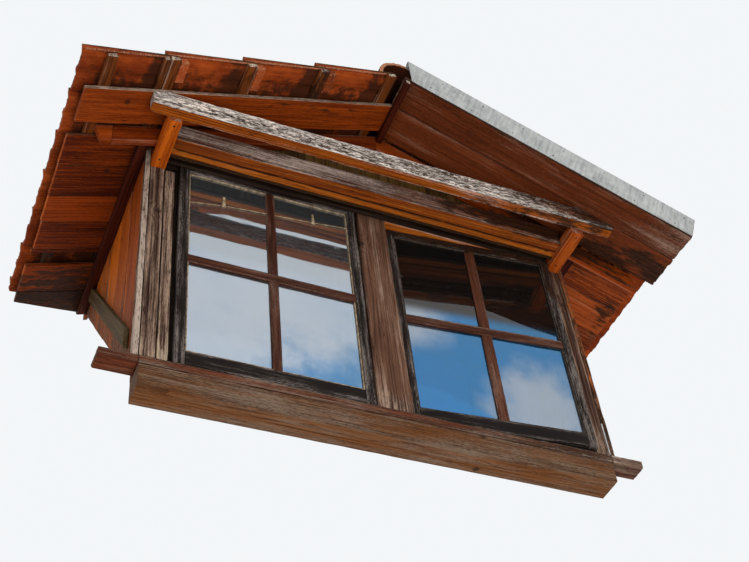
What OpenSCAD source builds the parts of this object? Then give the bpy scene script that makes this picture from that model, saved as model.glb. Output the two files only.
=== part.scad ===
// Gabled timber dormer with two glazed windows, built to sit on a steep tiled roof.
// Millimetres, +Z up, +X to the right and +Y into the building.
// The origin is the middle of the sill beam's flat underside, on the wall's front plane in Y
// shifted to the beam's centre line, so the beam's foot face holds the origin.

/* [Front wall] */
// Half of the width over the cheek boards
wall_half = 935; // [800:5:1200]
// Thickness of the cheek boards
plank_t = 22; // [16:1:32]
// Depth of the posts and the head beam
wall_d = 100; // [80:2:140]
// Height of the sill beam
sill_h = 90; // [70:5:140]
// Depth of the sill beam
sill_d = 110; // [90:2:150]
// Thickness of the sill board
sill_board_t = 35; // [25:1:50]
// How far the sill board stands out in front of the posts
sill_board_out = 4; // [2:1:40]
// How far the sill board runs past each cheek
sill_board_over = 115; // [40:5:160]
// Height of the posts under the wall plates
post_h = 1012; // [900:4:1150]
// Width of the left corner post
left_post_w = 100; // [70:2:140]
// Width of the right corner post
right_post_w = 58; // [50:2:120]
// Width of the middle post at its foot
mid_post_foot_w = 145; // [110:1:180]
// Width of the middle post at its head
mid_post_head_w = 123; // [100:1:160]
// Distance of the middle post's axis from the dormer's middle
mid_post_x = 24; // [-40:1:60]

/* [Head and gable] */
// Height of the head board's foot above the wall plates' underside
panel_lift = 38; // [24:1:52]
// Lap of the head board over the window heads
head_lap = 20; // [15:1:30]
// Height of the head beam
head_h = 54; // [40:2:58]
// Thickness of the head board
head_board_t = 15; // [12:1:24]
// Height of the head board
head_board_h = 58; // [40:2:70]
// Thickness of the gable panel
gable_t = 15; // [12:1:20]
// Rear face of the gable panel, in front of the posts
gable_out = 47; // [40:1:60]
// Width of the ridge purlin and the king post
ridge_beam_w = 60; // [50:2:90]
// Height of the ridge purlin
ridge_beam_h = 100; // [80:2:140]
// Depth of a gable rafter, front to back
rafter_d = 28; // [20:1:34]
// Plumb height of a gable rafter
rafter_h = 72; // [60:2:90]
// Reach of the left gable rafter past the cheek
left_rafter_out = 154; // [100:2:200]
// Length of the block that lengthens the left gable rafter
tail_block_l = 82; // [50:1:90]
// Reach of the right gable rafter past the cheek
right_rafter_out = 288; // [200:2:300]
// Thickness of the front tie board
tie_front_t = 50; // [36:1:60]
// Thickness of the rear tie board
tie_rear_t = 28; // [20:1:36]
// Open joint between the two tie boards
tie_joint = 2; // [1:0.5:4]
// Height of the rear tie board, under the rafters
tie_rear_h = 40; // [28:1:44]
// Height of the front tie board
tie_h = 96; // [80:2:104]
// How far the tie boards stay above the underside of the wall plates
tie_lift = 18; // [4:1:24]

/* [Projecting eave frame] */
// Width of a wall plate, which runs forward as an outrigger
plate_w = 58; // [46:2:80]
// Height of a wall plate
plate_h = 58; // [46:1:62]
// Reach of the outriggers in front of the posts
outrigger_out = 229; // [180:1:280]
// Thickness of the front beam
beam_t = 50; // [40:1:70]
// Height of the front beam
beam_h = 94; // [80:2:100]
// Height of the front beam's underside over the outriggers' underside
beam_lift = 18; // [0:1:24]
// Reach of the front beam to the left of the dormer's middle
beam_left = 985; // [950:5:1080]
// Reach of the front beam to the right of the dormer's middle
beam_right = 1040; // [950:5:1080]

/* [Dormer roof] */
// Height of the roof's underside over the wall plates, at the cheeks' outer face
eave_rise = 48; // [36:1:90]
// Rise of the roof's underside from the cheeks' outer face to the ridge
ridge_rise = 372; // [320:4:500]
// Distance of the ridge from the dormer's middle
ridge_x = 48; // [-60:4:60]
// Level reach of the roof boards past the cheeks
eave_out = 315; // [270:5:360]
// Extra reach of the verge boards on the right
verge_extra = 70; // [0:5:90]
// How much shorter the left front board is at the eave
front_board_cut = 14; // [0:1:30]
// Thickness of the roof boards
board_t = 20; // [16:1:30]
// Front edge of the right verge board, in front of the posts
verge_out = 420; // [395:1:470]
// Joint between the verge board and the front board, in front of the posts
seam_out = 275; // [240:1:300]
// Rear edge of the front board, in front of the posts
front_board_back = 108; // [98:1:130]
// Open joint between two roof boards
board_joint = 2; // [1:0.5:4]

/* [Tile covering] */
// Width of a tile batten
batten_w = 42; // [36:1:56]
// Height of a tile batten
batten_h = 24; // [20:1:34]
// Distance between battens along the slope
gauge = 331; // [310:1:345]
// Distance of the highest batten from the ridge, along the slope
ridge_batten = 50; // [44:1:80]
// Width of the narrow batten beside the last full one
twin_batten_w = 24; // [15:1:30]
// Distance of the eave batten's middle from the boards' lower edge
eave_batten_in = 94; // [60:1:110]
// Front ends of the left battens, in front of the posts
batten_out = 415; // [400:1:440]
// Front edges of the left tiles, in front of the posts
tile_out = 402; // [380:1:418]
// Thickness of a tile course
tile_t = 16; // [12:1:24]
// Lap of a tile's nose past the batten below
nose_lap = 26; // [15:1:40]
// Reach of the eave tiles past the roof boards
tile_drip = 15; // [5:1:60]
// Outer radius of a ridge tile's collar
ridge_tile_r = 105; // [96:1:120]
// Wall of a ridge tile
ridge_tile_wall = 14; // [10:1:20]
// Height of a ridge tile's centre over the roof's underside at the ridge
ridge_tile_centre = 48; // [36:1:60]
// Length of a ridge tile between collars
ridge_tile_pitch = 360; // [300:5:420]
// Thickness of a ridge tile's collar
collar_t = 8; // [5:1:12]
// Length of a ridge tile's collar
collar_l = 55; // [40:1:80]

/* [Verge] */
// Height of the timber upstand under the verge flashing
upstand_h = 126; // [90:2:150]
// Thickness of the timber upstand
upstand_t = 22; // [16:1:28]
// Thickness of the sheet metal
sheet_t = 2; // [1:0.5:3]
// Height of the flashing's front face
flashing_h = 148; // [130:2:170]
// Height of the lip behind the upstand
flashing_lip = 24; // [12:1:40]
// Start of the flashing right of the ridge
flashing_start = 28; // [10:1:60]

/* [Cheeks] */
// Pitch of the roof that the dormer stands on, in degrees
main_pitch = 52; // [45:1:58]
// Thickness of a sole plate, square to the slope
sole_t = 60; // [40:2:80]
// Width of the trim under the roof boards beside each cheek
trim_w = 42; // [30:1:60]
// Height of that trim
trim_h = 46; // [30:1:60]
// Thickness of a side flashing board
side_board_t = 18; // [12:1:26]
// Upright height of a side flashing board
side_board_h = 98; // [70:2:120]
// Height of a side flashing board above the sole, upright
side_board_lift = 117; // [90:1:150]
// Front end of a side flashing board, behind the posts' face
side_board_y = 70; // [40:5:120]

/* [Windows] */
// Thickness of a casing member
casing_t = 20; // [16:1:28]
// Rear face of the casings, behind the posts' face
casing_back = 118; // [110:1:140]
// Width of a sash stile
stile_w = 38; // [30:1:50]
// Height of a sash's lower rail
low_rail_h = 64; // [50:1:80]
// Height of a sash's top rail
top_rail_h = 36; // [30:1:50]
// Thickness of a sash, front to back
sash_t = 38; // [32:1:46]
// Depth of the glazing rebate from the front
rebate_d = 15; // [10:1:20]
// Width of the glazing rebate
rebate_w = 7; // [5:1:10]
// Thickness of a pane
pane_t = 4; // [3:0.5:6]
// Gap between the left post and the left sash
left_sash_gap = 20; // [8:1:30]
// Gap between a sash and the post beside it
sash_gap = 3; // [2:0.5:6]
// Setback of the right sash behind the posts' face at its hinge side
right_setback = 34; // [20:1:40]
// Angle by which the right sash stands ajar, in degrees
ajar = 4.5; // [0:0.5:6]
// Width of an inner sash's members
inner_stile_w = 42; // [32:1:56]
// Thickness of an inner sash
inner_sash_t = 28; // [22:1:32]

/* [Hidden] */
// Clearance at seats that are slanted or that slide together
fit = 0.3;
// Reach of the cutting shapes, larger than the dormer
far = 3000;
left = -1;
right = 1;
round_fn = 48;

sill_top = sill_h + sill_board_t;
post_top = sill_top + post_h;
plate_top = post_top + plate_h;
panel_z = post_top + panel_lift;
head_z = panel_z + head_lap;
eave_z = plate_top + eave_rise;
ridge_z = eave_z + ridge_rise;
// The beam's middle line lies on Y = 0, so the posts' front face is this far forward
face_y = -sill_d / 2;
frame_x = wall_half - plank_t;
gable_y = face_y - gable_out - gable_t;
rafter_y = gable_y - rafter_d;
tie_joint_y = gable_y - max(tie_rear_t, rafter_d) - tie_joint;
beam_y = face_y - outrigger_out - beam_t;
slope_tan = tan(main_pitch);
// Plumb height of the roof boards, on the less steep side
plumb_board = board_t / cos(pitch(left)) - fit;
batten_top = board_t + batten_h;

function span(side) = wall_half - side * ridge_x;
function pitch(side) = atan(ridge_rise / span(side));
function roof_z(x) = ridge_z - ridge_rise * abs(x - ridge_x) / span(x < ridge_x ? left : right);
function eave_s(side, extra) = (span(side) + eave_out + extra) / cos(pitch(side));
function sole_z(y) = (y - face_y) * slope_tan;

// A profile in X and Z carried from one Y to another
module prism_y(points, y0, y1)
    translate([0, y1, 0]) rotate([90, 0, 0]) linear_extrude(y1 - y0) polygon(points);

// A profile in Y and Z carried from one X to another
module prism_x(points, x0, x1)
    translate([x0, 0, 0]) rotate([90, 0, 90]) linear_extrude(x1 - x0) polygon(points);

// A box between two corners
module block(low, high)
    translate(low) cube(high - low);

// Everything higher than the roof's underside, lowered by a gap
module above_roof(gap)
    prism_y([[-far, roof_z(-far) - gap], [ridge_x, ridge_z - gap], [far, roof_z(far) - gap],
        [far, far], [-far, far]], -far, far);

// Everything under the slope that the dormer stands on, raised by a lift
module below_slope(lift)
    prism_x([[-far, sole_z(-far) + lift], [far, sole_z(far) + lift], [far, -2 * far],
        [-far, sole_z(-far) - far]], -far, far);

// Timber cut to fit under the roof boards, and in the rear on the slope
module trimmed(gap = 0.3, lift = 0)
    difference() {
        children();
        above_roof(gap);
        below_slope(lift);
    }

// Local frame of one roof side: X down the slope from the ridge, Z square to the boards
module on_slope(side)
    translate([ridge_x, 0, ridge_z]) mirror([side < 0 ? 1 : 0, 0, 0]) rotate([0, pitch(side), 0])
        children();

// Half of space on one side of the ridge, for plumb cuts there
module ridge_side(side, inset = 0)
    intersection() {
        children();
        block([side < 0 ? -far : ridge_x + inset, -far, -far],
            [side < 0 ? ridge_x - inset : far, far, far]);
    }

// A flat layer on one roof side, from the ridge to a distance down the slope
module layer(side, reach, t0, t1, y0, y1)
    ridge_side(side) on_slope(side)
        block([-board_t * 4, y0, t0], [reach, y1, t1]);

module sill_beam() {
    color([0.27, 0.20, 0.15])
        block([-wall_half + plank_t, face_y, 0], [wall_half - plank_t, face_y + sill_d, sill_h]);
}

// Board on the sill beam. Its ends run on past the cheeks and are cut along the slope
module sill_board() {
    reach = wall_half + sill_board_over;
    color([0.36, 0.24, 0.18])
        difference() {
            block([-reach, face_y - sill_board_out, sill_h], [reach, face_y + sill_d, sill_top]);
            for (x0 = [-reach - 1, frame_x])
                prism_x([[face_y, 0], [face_y + far, 0], [face_y + far, far * slope_tan]],
                    x0, x0 + reach + 1 - frame_x);
        }
}

module left_corner_post() {
    color([0.40, 0.34, 0.29])
        block([-frame_x, face_y, sill_top], [-frame_x + left_post_w, face_y + wall_d, post_top]);
}

module mid_post() {
    foot = mid_post_foot_w / 2;
    head = mid_post_head_w / 2;
    color([0.33, 0.26, 0.22])
        prism_y([[mid_post_x - foot, sill_top], [mid_post_x + foot, sill_top],
            [mid_post_x + head, head_z], [mid_post_x - head, head_z]], face_y, face_y + wall_d);
}

module right_corner_post() {
    color([0.40, 0.34, 0.29])
        block([frame_x - right_post_w, face_y, sill_top], [frame_x, face_y + wall_d, post_top]);
}

// Upright boarding of one side, which stands on the sill board and is cut along the slope
module cheek(side) {
    x0 = side < 0 ? -wall_half : frame_x + fit;
    x1 = side < 0 ? -frame_x - fit : wall_half;
    trimmed(fit, 0)
        block([x0, face_y, sill_top], [x1, far, ridge_z]);
}

module left_cheek() {
    color([0.62, 0.33, 0.14]) cheek(left);
}

module right_cheek() {
    color([0.62, 0.33, 0.14]) cheek(right);
}

// Timber that lies on the slope behind the sill beam and carries one cheek
module sole_plate(side) {
    rise = sole_t / cos(main_pitch);
    x0 = side < 0 ? -frame_x : frame_x - plate_w;
    y0 = face_y + sill_d + fit;
    y1 = face_y + (post_top - fit) / slope_tan;
    prism_x([[y0, sole_z(y0)], [y1, sole_z(y1)], [y1 - rise / slope_tan, sole_z(y1)],
        [y0, sole_z(y0) + rise]], x0, x0 + plate_w);
}

module left_sole_plate() {
    color([0.38, 0.27, 0.18]) sole_plate(left);
}

module right_sole_plate() {
    color([0.38, 0.27, 0.18]) sole_plate(right);
}

// Plate on one wall, which runs forward past the posts as an outrigger
module wall_plate(side) {
    x0 = side < 0 ? -frame_x : frame_x - plate_w;
    trimmed(fit, 0)
        block([x0, face_y - outrigger_out, post_top], [x0 + plate_w, ridge_z, plate_top]);
}

module left_wall_plate() {
    color([0.62, 0.33, 0.13]) wall_plate(left);
}

module right_wall_plate() {
    color([0.58, 0.33, 0.18]) wall_plate(right);
}

// Purlins on the wall plates, bevelled to carry the roof boards
module eave_purlins() {
    color([0.40, 0.27, 0.17])
        for (x0 = [-frame_x, frame_x - plate_w])
            trimmed(fit, 0)
                block([x0, face_y, plate_top], [x0 + plate_w, ridge_z, ridge_z]);
}

module head_beam() {
    reach = frame_x - plate_w - fit;
    color([0.34, 0.25, 0.18])
        trimmed()
            block([-reach, face_y, head_z], [reach, face_y + wall_d, head_z + head_h]);
}

// Board over the window heads, on the posts' front
module head_board() {
    reach = frame_x - plate_w - fit;
    color([0.26, 0.20, 0.14])
        block([-reach, face_y - head_board_t, panel_z], [reach, face_y, panel_z + head_board_h]);
}

// Boarding of the gable's triangle, on the rear of the tie boards
module gable_panel() {
    reach = frame_x - plate_w - fit;
    color([0.24, 0.19, 0.11])
        trimmed(fit - plumb_board, -far)
            block([-reach, gable_y, post_top + tie_lift], [reach, gable_y + gable_t, far]);
}

// A board between the outriggers
module tie_board(y0, y1, height) {
    reach = frame_x - plate_w - fit;
    z0 = post_top + tie_lift;
    trimmed(fit, -far)
        block([-reach, y0, z0], [reach, y1, z0 + height]);
}

module tie_boards() {
    color([0.37, 0.31, 0.27]) {
        tie_board(tie_joint_y - tie_front_t, tie_joint_y, tie_h);
        tie_board(gable_y - tie_rear_t, gable_y, tie_rear_h);
    }
}

module front_beam() {
    z0 = post_top + beam_lift;
    color([0.52, 0.47, 0.43])
        trimmed(fit, -far)
            block([-beam_left, beam_y, z0], [beam_right, beam_y + beam_t, z0 + beam_h]);
}

module king_post() {
    color([0.34, 0.25, 0.18])
        block([ridge_x - ridge_beam_w / 2, face_y, head_z + head_h],
            [ridge_x + ridge_beam_w / 2, face_y + wall_d, ridge_z - ridge_beam_h]);
}

module ridge_purlin() {
    color([0.40, 0.27, 0.17])
        trimmed()
            block([ridge_x - ridge_beam_w / 2, face_y, ridge_z - ridge_beam_h],
                [ridge_x + ridge_beam_w / 2, far, ridge_z]);
}

// Profile of a rafter between two places in X, up to the top of the roof boards
function rafter_profile(x0, x1, cut) = [[x0, roof_z(x0) + plumb_board], [x1, roof_z(x1) + plumb_board],
    [x1 - cut, roof_z(x1 - cut) - rafter_h], [x0, roof_z(x0) - rafter_h]];

// Rafter on the front of the gable panel, notched over the wall plate
module gable_rafter(side, out) {
    foot = ridge_x + side * (span(side) + out);
    plate_x = side < 0 ? -frame_x : frame_x - plate_w;
    ridge_side(side, fit / 2)
        difference() {
            prism_y(rafter_profile(ridge_x, foot, 0), rafter_y, gable_y - fit);
            block([plate_x - fit, -far, sill_top], [plate_x + plate_w + fit, far, plate_top]);
        }
}

module left_gable_rafter() {
    color([0.42, 0.25, 0.14]) gable_rafter(left, left_rafter_out);
}

module right_gable_rafter() {
    color([0.42, 0.25, 0.14]) gable_rafter(right, right_rafter_out);
}

// Block that lengthens the left rafter, with its end cut square to the slope
module rafter_tail_block() {
    x0 = -wall_half - left_rafter_out - fit;
    x1 = x0 - tail_block_l;
    color([0.60, 0.32, 0.16])
        prism_y(rafter_profile(x0, x1, -rafter_h * cos(pitch(left)) * sin(pitch(left))),
            rafter_y, gable_y - fit);
}

module left_front_board() {
    color([0.60, 0.28, 0.12])
        layer(left, eave_s(left, 0) - front_board_cut, 0, board_t, face_y - seam_out + board_joint / 2,
            face_y - front_board_back);
}

module right_front_boards() {
    reach = eave_s(right, verge_extra);
    color([0.50, 0.25, 0.14]) {
        layer(right, reach, 0, board_t, face_y - seam_out + board_joint / 2, face_y - front_board_back);
        layer(right, reach, 0, board_t, face_y - verge_out, face_y - seam_out - board_joint / 2);
    }
}

// Roof boards behind the gable rafters, cut off in the valley
module sheathing(side)
    difference() {
        layer(side, eave_s(side, 0), 0, board_t, gable_y + gable_t + fit, far);
        below_slope(0);
    }

module left_sheathing() {
    color([0.48, 0.22, 0.12]) sheathing(left);
}

module right_sheathing() {
    color([0.52, 0.24, 0.12]) sheathing(right);
}

// One batten on the roof boards, cut off in the valley
module batten(side, s, width, y0)
    difference() {
        on_slope(side)
            block([s, y0, board_t], [s + width, ridge_z, batten_top]);
        below_slope(board_t);
    }

// Tile battens of one side, with a narrow twin below the fourth
module battens(side, y0) {
    low = ridge_batten + 3 * gauge + batten_w / 2 + board_joint;
    eave = eave_s(side, 0) - eave_batten_in - batten_w / 2;
    for (k = [0:3])
        batten(side, ridge_batten + k * gauge - batten_w / 2, batten_w, y0);
    batten(side, low, twin_batten_w, y0);
    batten(side, eave, batten_w, y0);
}

module left_battens() {
    color([0.45, 0.30, 0.17]) battens(left, face_y - batten_out);
}

module right_battens() {
    color([0.45, 0.30, 0.17]) battens(right, face_y - verge_out + upstand_t + fit);
}

// One course: its head lies on a batten and its nose on the head of the course below
module course(head_s, nose_s, y0) {
    prism_y([[head_s, batten_top + fit], [nose_s, batten_top + tile_t + 2 * fit],
        [nose_s, batten_top + 2 * tile_t + 2 * fit], [head_s, batten_top + tile_t + fit]], y0, far);
}

// Stepped tile covering of one side, four courses from the ridge to the eave
module tiles(side, y0)
    difference() {
        on_slope(side)
            for (k = [0:3])
                course(ridge_batten + k * gauge - batten_w / 2,
                    k < 3 ? ridge_batten + (k + 1) * gauge + nose_lap : eave_s(side, 0) + tile_drip, y0);
        below_slope(board_t * 3);
    }

module left_tiles() {
    color([0.66, 0.33, 0.20]) tiles(left, face_y - tile_out);
}

module right_tiles() {
    color([0.66, 0.33, 0.20]) tiles(right, face_y - verge_out + upstand_t + 2 * fit);
}

// Height of a side's highest course over a place at a level distance from the ridge
function course_rise() = (tile_t + fit) / (gauge + batten_w / 2 + nose_lap);
function course_zero() = batten_top + tile_t + fit + course_rise() * (batten_w / 2 - ridge_batten);
function course_s(side, d) = (d - course_zero() * sin(pitch(side)))
    / (cos(pitch(side)) + course_rise() * sin(pitch(side)));
function course_top(side, d) = ridge_z - course_s(side, d) * sin(pitch(side))
    + (course_zero() + course_rise() * course_s(side, d)) * cos(pitch(side)) + fit;

// Everything under the highest courses of both sides
module below_courses()
    prism_y([[ridge_x - far, course_top(left, far)], [ridge_x, course_top(left, 0)],
        [ridge_x, course_top(right, 0)], [ridge_x + far, course_top(right, far)],
        [ridge_x + far, -far], [ridge_x - far, -far]], -far, far);

// One length of ridge tile, round about its centre line
module ridge_length(y0, y1, outer, wall)
    translate([ridge_x, y1, ridge_z + ridge_tile_centre]) rotate([90, 0, 0])
        linear_extrude(y1 - y0)
            difference() {
                circle(outer, $fn = round_fn);
                circle(outer - wall, $fn = round_fn);
            }

module ridge_tiles() {
    y0 = face_y - verge_out + upstand_t + sheet_t + fit;
    y_end = face_y + ridge_z / slope_tan;
    count = floor((y_end - y0) / ridge_tile_pitch);
    color([0.58, 0.30, 0.20])
        difference() {
            union() {
                ridge_length(y0, y_end + ridge_tile_r, ridge_tile_r - collar_t, ridge_tile_wall);
                for (k = [0:count])
                    ridge_length(y0 + k * ridge_tile_pitch, y0 + k * ridge_tile_pitch + collar_l,
                        ridge_tile_r, collar_t + ridge_tile_wall / 2);
            }
            below_courses();
            below_slope(board_t * 3);
        }
}

module verge_upstand() {
    color([0.36, 0.26, 0.18])
        ridge_side(right, flashing_start)
            on_slope(right)
                block([-board_t * 4, face_y - verge_out, board_t], [eave_s(right, verge_extra),
                    face_y - verge_out + upstand_t, board_t + upstand_h]);
}

// Bent sheet over the upstand: front face, top and a lip behind
module verge_flashing() {
    y0 = face_y - verge_out - sheet_t;
    y1 = face_y - verge_out + upstand_t + sheet_t;
    top = board_t + upstand_h + sheet_t;
    color([0.66, 0.66, 0.65])
        ridge_side(right, flashing_start)
            on_slope(right)
                difference() {
                    block([-board_t * 4, y0, top - flashing_h], [eave_s(right, verge_extra) + 1, y1, top]);
                    block([-far, y0 + sheet_t, -far], [far, far, top - sheet_t - flashing_lip]);
                    block([-far, y0 + sheet_t, -far], [far, y1 - sheet_t, top - sheet_t]);
                }
}

module cheek_trims() {
    color([0.35, 0.12, 0.08])
        for (side = [left, right])
            difference() {
                trimmed()
                    block([side < 0 ? -wall_half - trim_w : wall_half, gable_y, 0],
                        [side < 0 ? -wall_half : wall_half + trim_w, far, ridge_z]);
                prism_y([[-far, roof_z(-far) - trim_h], [ridge_x, ridge_z - trim_h],
                    [far, roof_z(far) - trim_h], [far, -far], [-far, -far]], -far, far);
            }
}

// Board along the foot of one cheek, parallel to the slope
module side_flashing(side) {
    x0 = side < 0 ? -wall_half - side_board_t : wall_half;
    y0 = face_y + side_board_y;
    y1 = face_y + (eave_z - side_board_lift) / slope_tan;
    difference() {
        prism_x([[y0, sole_z(y0) + side_board_lift], [y1, sole_z(y1) + side_board_lift],
            [y1, sole_z(y1) + side_board_lift + side_board_h],
            [y0, sole_z(y0) + side_board_lift + side_board_h]], x0, x0 + side_board_t);
        above_roof(trim_h + fit);
    }
}

module left_side_flashing() {
    color([0.40, 0.30, 0.18]) side_flashing(left);
}

module right_side_flashing() {
    color([0.40, 0.30, 0.18]) side_flashing(right);
}

left_open_x = -frame_x + left_post_w;
left_open_end = mid_post_x - mid_post_foot_w / 2;
right_open_x = mid_post_x + mid_post_foot_w / 2;
right_open_end = frame_x - max(right_post_w, plate_w);

// A rectangular ring in X and Z with its own rail heights
module ring(x0, x1, z0, z1, side_w, low_h, top_h, y0, y1)
    difference() {
        block([x0, y0, z0], [x1, y1, z1]);
        block([x0 + side_w, y0 - 1, z0 + low_h], [x1 - side_w, y1 + 1, z1 - top_h]);
    }

module left_casing() {
    color([0.16, 0.13, 0.12])
        ring(left_open_x + fit, left_open_end - fit, sill_top, head_z - fit, casing_t, casing_t, casing_t,
            face_y + sash_t + fit, face_y + casing_back);
}

module right_casing() {
    y0 = face_y + right_setback + sash_t + fit;
    color([0.16, 0.13, 0.12]) {
        ring(right_open_x + fit, right_open_end - fit, sill_top, head_z - fit, casing_t, casing_t, casing_t,
            y0, face_y + casing_back);
        block([right_open_x + fit, face_y, panel_z], [right_open_end - fit, y0, head_z - fit]);
    }
}

// One glazed sash: a ring with a rebate for the pane in its front
module sash(width, height) {
    difference() {
        ring(0, width, 0, height, stile_w, low_rail_h, top_rail_h, 0, sash_t);
        block([stile_w - rebate_w, -1, low_rail_h - rebate_w],
            [width - stile_w + rebate_w, rebate_d, height - top_rail_h + rebate_w]);
    }
}

// The pane of a sash, against the back of its rebate
module sash_pane(width, height) {
    block([stile_w - rebate_w + fit, rebate_d - pane_t, low_rail_h - rebate_w + fit],
        [width - stile_w + rebate_w - fit, rebate_d, height - top_rail_h + rebate_w - fit]);
}

left_sash_w = left_open_end - sash_gap - left_open_x - left_sash_gap;
left_sash_h = head_z - fit - sash_gap - sill_top;
right_sash_w = (right_open_end - right_open_x - 2 * sash_gap) * cos(ajar);
right_sash_h = panel_z - sill_top - 2 * sash_gap;

module at_left_sash()
    translate([left_open_x + left_sash_gap, face_y, sill_top + sash_gap]) children();

module at_right_sash()
    translate([right_open_x + sash_gap, face_y + right_setback, sill_top + sash_gap])
        rotate([0, 0, -ajar]) children();

module left_sash() {
    color([0.13, 0.11, 0.10]) at_left_sash() sash(left_sash_w, left_sash_h);
}

module right_sash() {
    color([0.13, 0.11, 0.10]) at_right_sash() sash(right_sash_w, right_sash_h);
}

module left_pane() {
    color([0.45, 0.60, 0.75]) at_left_sash() sash_pane(left_sash_w, left_sash_h);
}

module right_pane() {
    color([0.45, 0.60, 0.75]) at_right_sash() sash_pane(right_sash_w, right_sash_h);
}

inner_low = sill_top + casing_t + fit;
inner_high = head_z - fit - casing_t - fit;

// Inner sash, inside the casing at its back
module inner_sash(x0, x1)
    ring(x0 + casing_t + 2 * fit, x1 - casing_t - 2 * fit, inner_low, inner_high, inner_stile_w,
        inner_stile_w, inner_stile_w, face_y + casing_back - inner_sash_t, face_y + casing_back);

module left_inner_sash() {
    color([0.50, 0.42, 0.33]) inner_sash(left_open_x, left_open_end);
}

module right_inner_sash() {
    color([0.50, 0.42, 0.33]) inner_sash(right_open_x, right_open_end);
}

module inner_pane(x0, x1) {
    inset = casing_t + 3 * fit + inner_stile_w;
    y0 = face_y + casing_back - inner_sash_t / 2;
    block([x0 + inset, y0, inner_low + inner_stile_w + fit],
        [x1 - inset, y0 + pane_t, inner_high - inner_stile_w - fit]);
}

module inner_panes() {
    color([0.55, 0.65, 0.75]) {
        inner_pane(left_open_x, left_open_end);
        inner_pane(right_open_x, right_open_end);
    }
}

sill_beam();
sill_board();
left_corner_post();
mid_post();
right_corner_post();
left_cheek();
right_cheek();
left_sole_plate();
right_sole_plate();
left_wall_plate();
right_wall_plate();
eave_purlins();
head_beam();
head_board();
gable_panel();
tie_boards();
front_beam();
king_post();
ridge_purlin();
left_gable_rafter();
right_gable_rafter();
rafter_tail_block();
left_front_board();
right_front_boards();
left_sheathing();
right_sheathing();
left_battens();
right_battens();
left_tiles();
right_tiles();
ridge_tiles();
verge_upstand();
verge_flashing();
cheek_trims();
left_side_flashing();
right_side_flashing();
left_casing();
right_casing();
left_sash();
right_sash();
left_pane();
right_pane();
left_inner_sash();
right_inner_sash();
inner_panes();
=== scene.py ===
"""Studio scene of a gabled timber dormer with two windows, dressed piece by piece on its fixed frame.

Lengths in the classes are millimetres in the frame's own axes: X to the right, Y into the
building, Z up. One function turns them into metres when a mesh is written.
"""
import logging
import math
from dataclasses import dataclass, field
from enum import Enum
from typing import Any, Callable, Sequence

import bpy
import numpy as np
from bpy.types import Material, Node, NodeSocket, Object
from mathutils import Matrix, Vector


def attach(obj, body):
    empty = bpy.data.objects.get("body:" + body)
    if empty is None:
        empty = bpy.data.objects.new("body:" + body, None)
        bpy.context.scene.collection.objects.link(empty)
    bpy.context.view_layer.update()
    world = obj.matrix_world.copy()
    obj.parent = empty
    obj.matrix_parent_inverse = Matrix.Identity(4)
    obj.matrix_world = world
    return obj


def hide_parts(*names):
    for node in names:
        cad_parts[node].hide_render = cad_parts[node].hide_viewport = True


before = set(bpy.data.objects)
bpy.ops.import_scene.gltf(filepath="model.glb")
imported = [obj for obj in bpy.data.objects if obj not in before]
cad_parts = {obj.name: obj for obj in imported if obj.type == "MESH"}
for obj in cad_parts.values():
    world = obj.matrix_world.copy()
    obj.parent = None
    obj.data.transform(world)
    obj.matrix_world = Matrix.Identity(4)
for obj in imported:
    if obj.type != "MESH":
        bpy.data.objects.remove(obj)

LOG = logging.getLogger("dormer")
METRE = 0.001
HASH_BITS = 0xFFFFFFFF
VALUE_BITS = 0xFFFFFF
Array = Points = np.ndarray
Pair = tuple[float, float]
Triple = tuple[float, float, float]
Numbers = Sequence[float]
Reshape = Callable[[Points], Points]
join = np.concatenate


def lattice(ix: Array, iy: Array, seed: int) -> Array:
    """Hash whole grid numbers to values from 0 to 1: products with large primes, folded by shifts.

    Args:
        ix: whole numbers along the first direction.
        iy: whole numbers along the second direction.
        seed: chooses one of many patterns.

    Returns:
        One value per grid point, the same on every run.
    """
    h = (ix.astype(np.int64) * 374761393 + iy.astype(np.int64) * 668265263 + seed * 974634777) & HASH_BITS
    h = ((h ^ (h >> 13)) * 1274126177) & HASH_BITS
    return ((h ^ (h >> 16)) & VALUE_BITS) / float(VALUE_BITS)


def chance(a: int, b: int, seed: int) -> float:
    """The lattice's value at one pair of whole numbers."""
    return float(lattice(np.array(a), np.array(b), seed))


def noise(x: Array, y: Array, seed: int) -> Array:
    """Smooth noise from 0 to 1: lattice values blended with the cubic 3f squared minus 2f cubed.

    Args:
        x: first coordinate in lattice cells.
        y: second coordinate in lattice cells.
        seed: chooses the pattern.

    Returns:
        The noise at each place.
    """
    x, y = np.broadcast_arrays(np.asarray(x, float), np.asarray(y, float))
    ix, iy = np.floor(x), np.floor(y)
    fx, fy = x - ix, y - iy
    fx, fy = fx * fx * (3 - 2 * fx), fy * fy * (3 - 2 * fy)
    low = lattice(ix, iy, seed) * (1 - fx) + lattice(ix + 1, iy, seed) * fx
    high = lattice(ix, iy + 1, seed) * (1 - fx) + lattice(ix + 1, iy + 1, seed) * fx
    return low * (1 - fy) + high * fy


def fractal(x: Array, y: Array, seed: int, octaves: int = 3) -> Array:
    """Sum of noise octaves, each twice as fine and half as strong, scaled back to 0 to 1.

    Args:
        x: first coordinate in cells of the coarsest octave.
        y: second coordinate in those cells.
        seed: chooses the pattern.
        octaves: number of layers.

    Returns:
        The summed noise.
    """
    total, weight = np.zeros(np.broadcast(x, y).shape), 0.0
    for k in range(octaves):
        total = total + noise(np.asarray(x) * 2**k, np.asarray(y) * 2**k, seed + 17 * k) / 2**k
        weight += 1 / 2**k
    return total / weight


def unit(v: Numbers) -> Array:
    """The vector scaled to length one."""
    v = np.asarray(v, float)
    return v / np.linalg.norm(v)


def bell(distance: Any, width: float) -> Any:
    """A rounded peak: e to the minus square of distance over width."""
    return np.exp(-((distance / width) ** 2))


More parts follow.
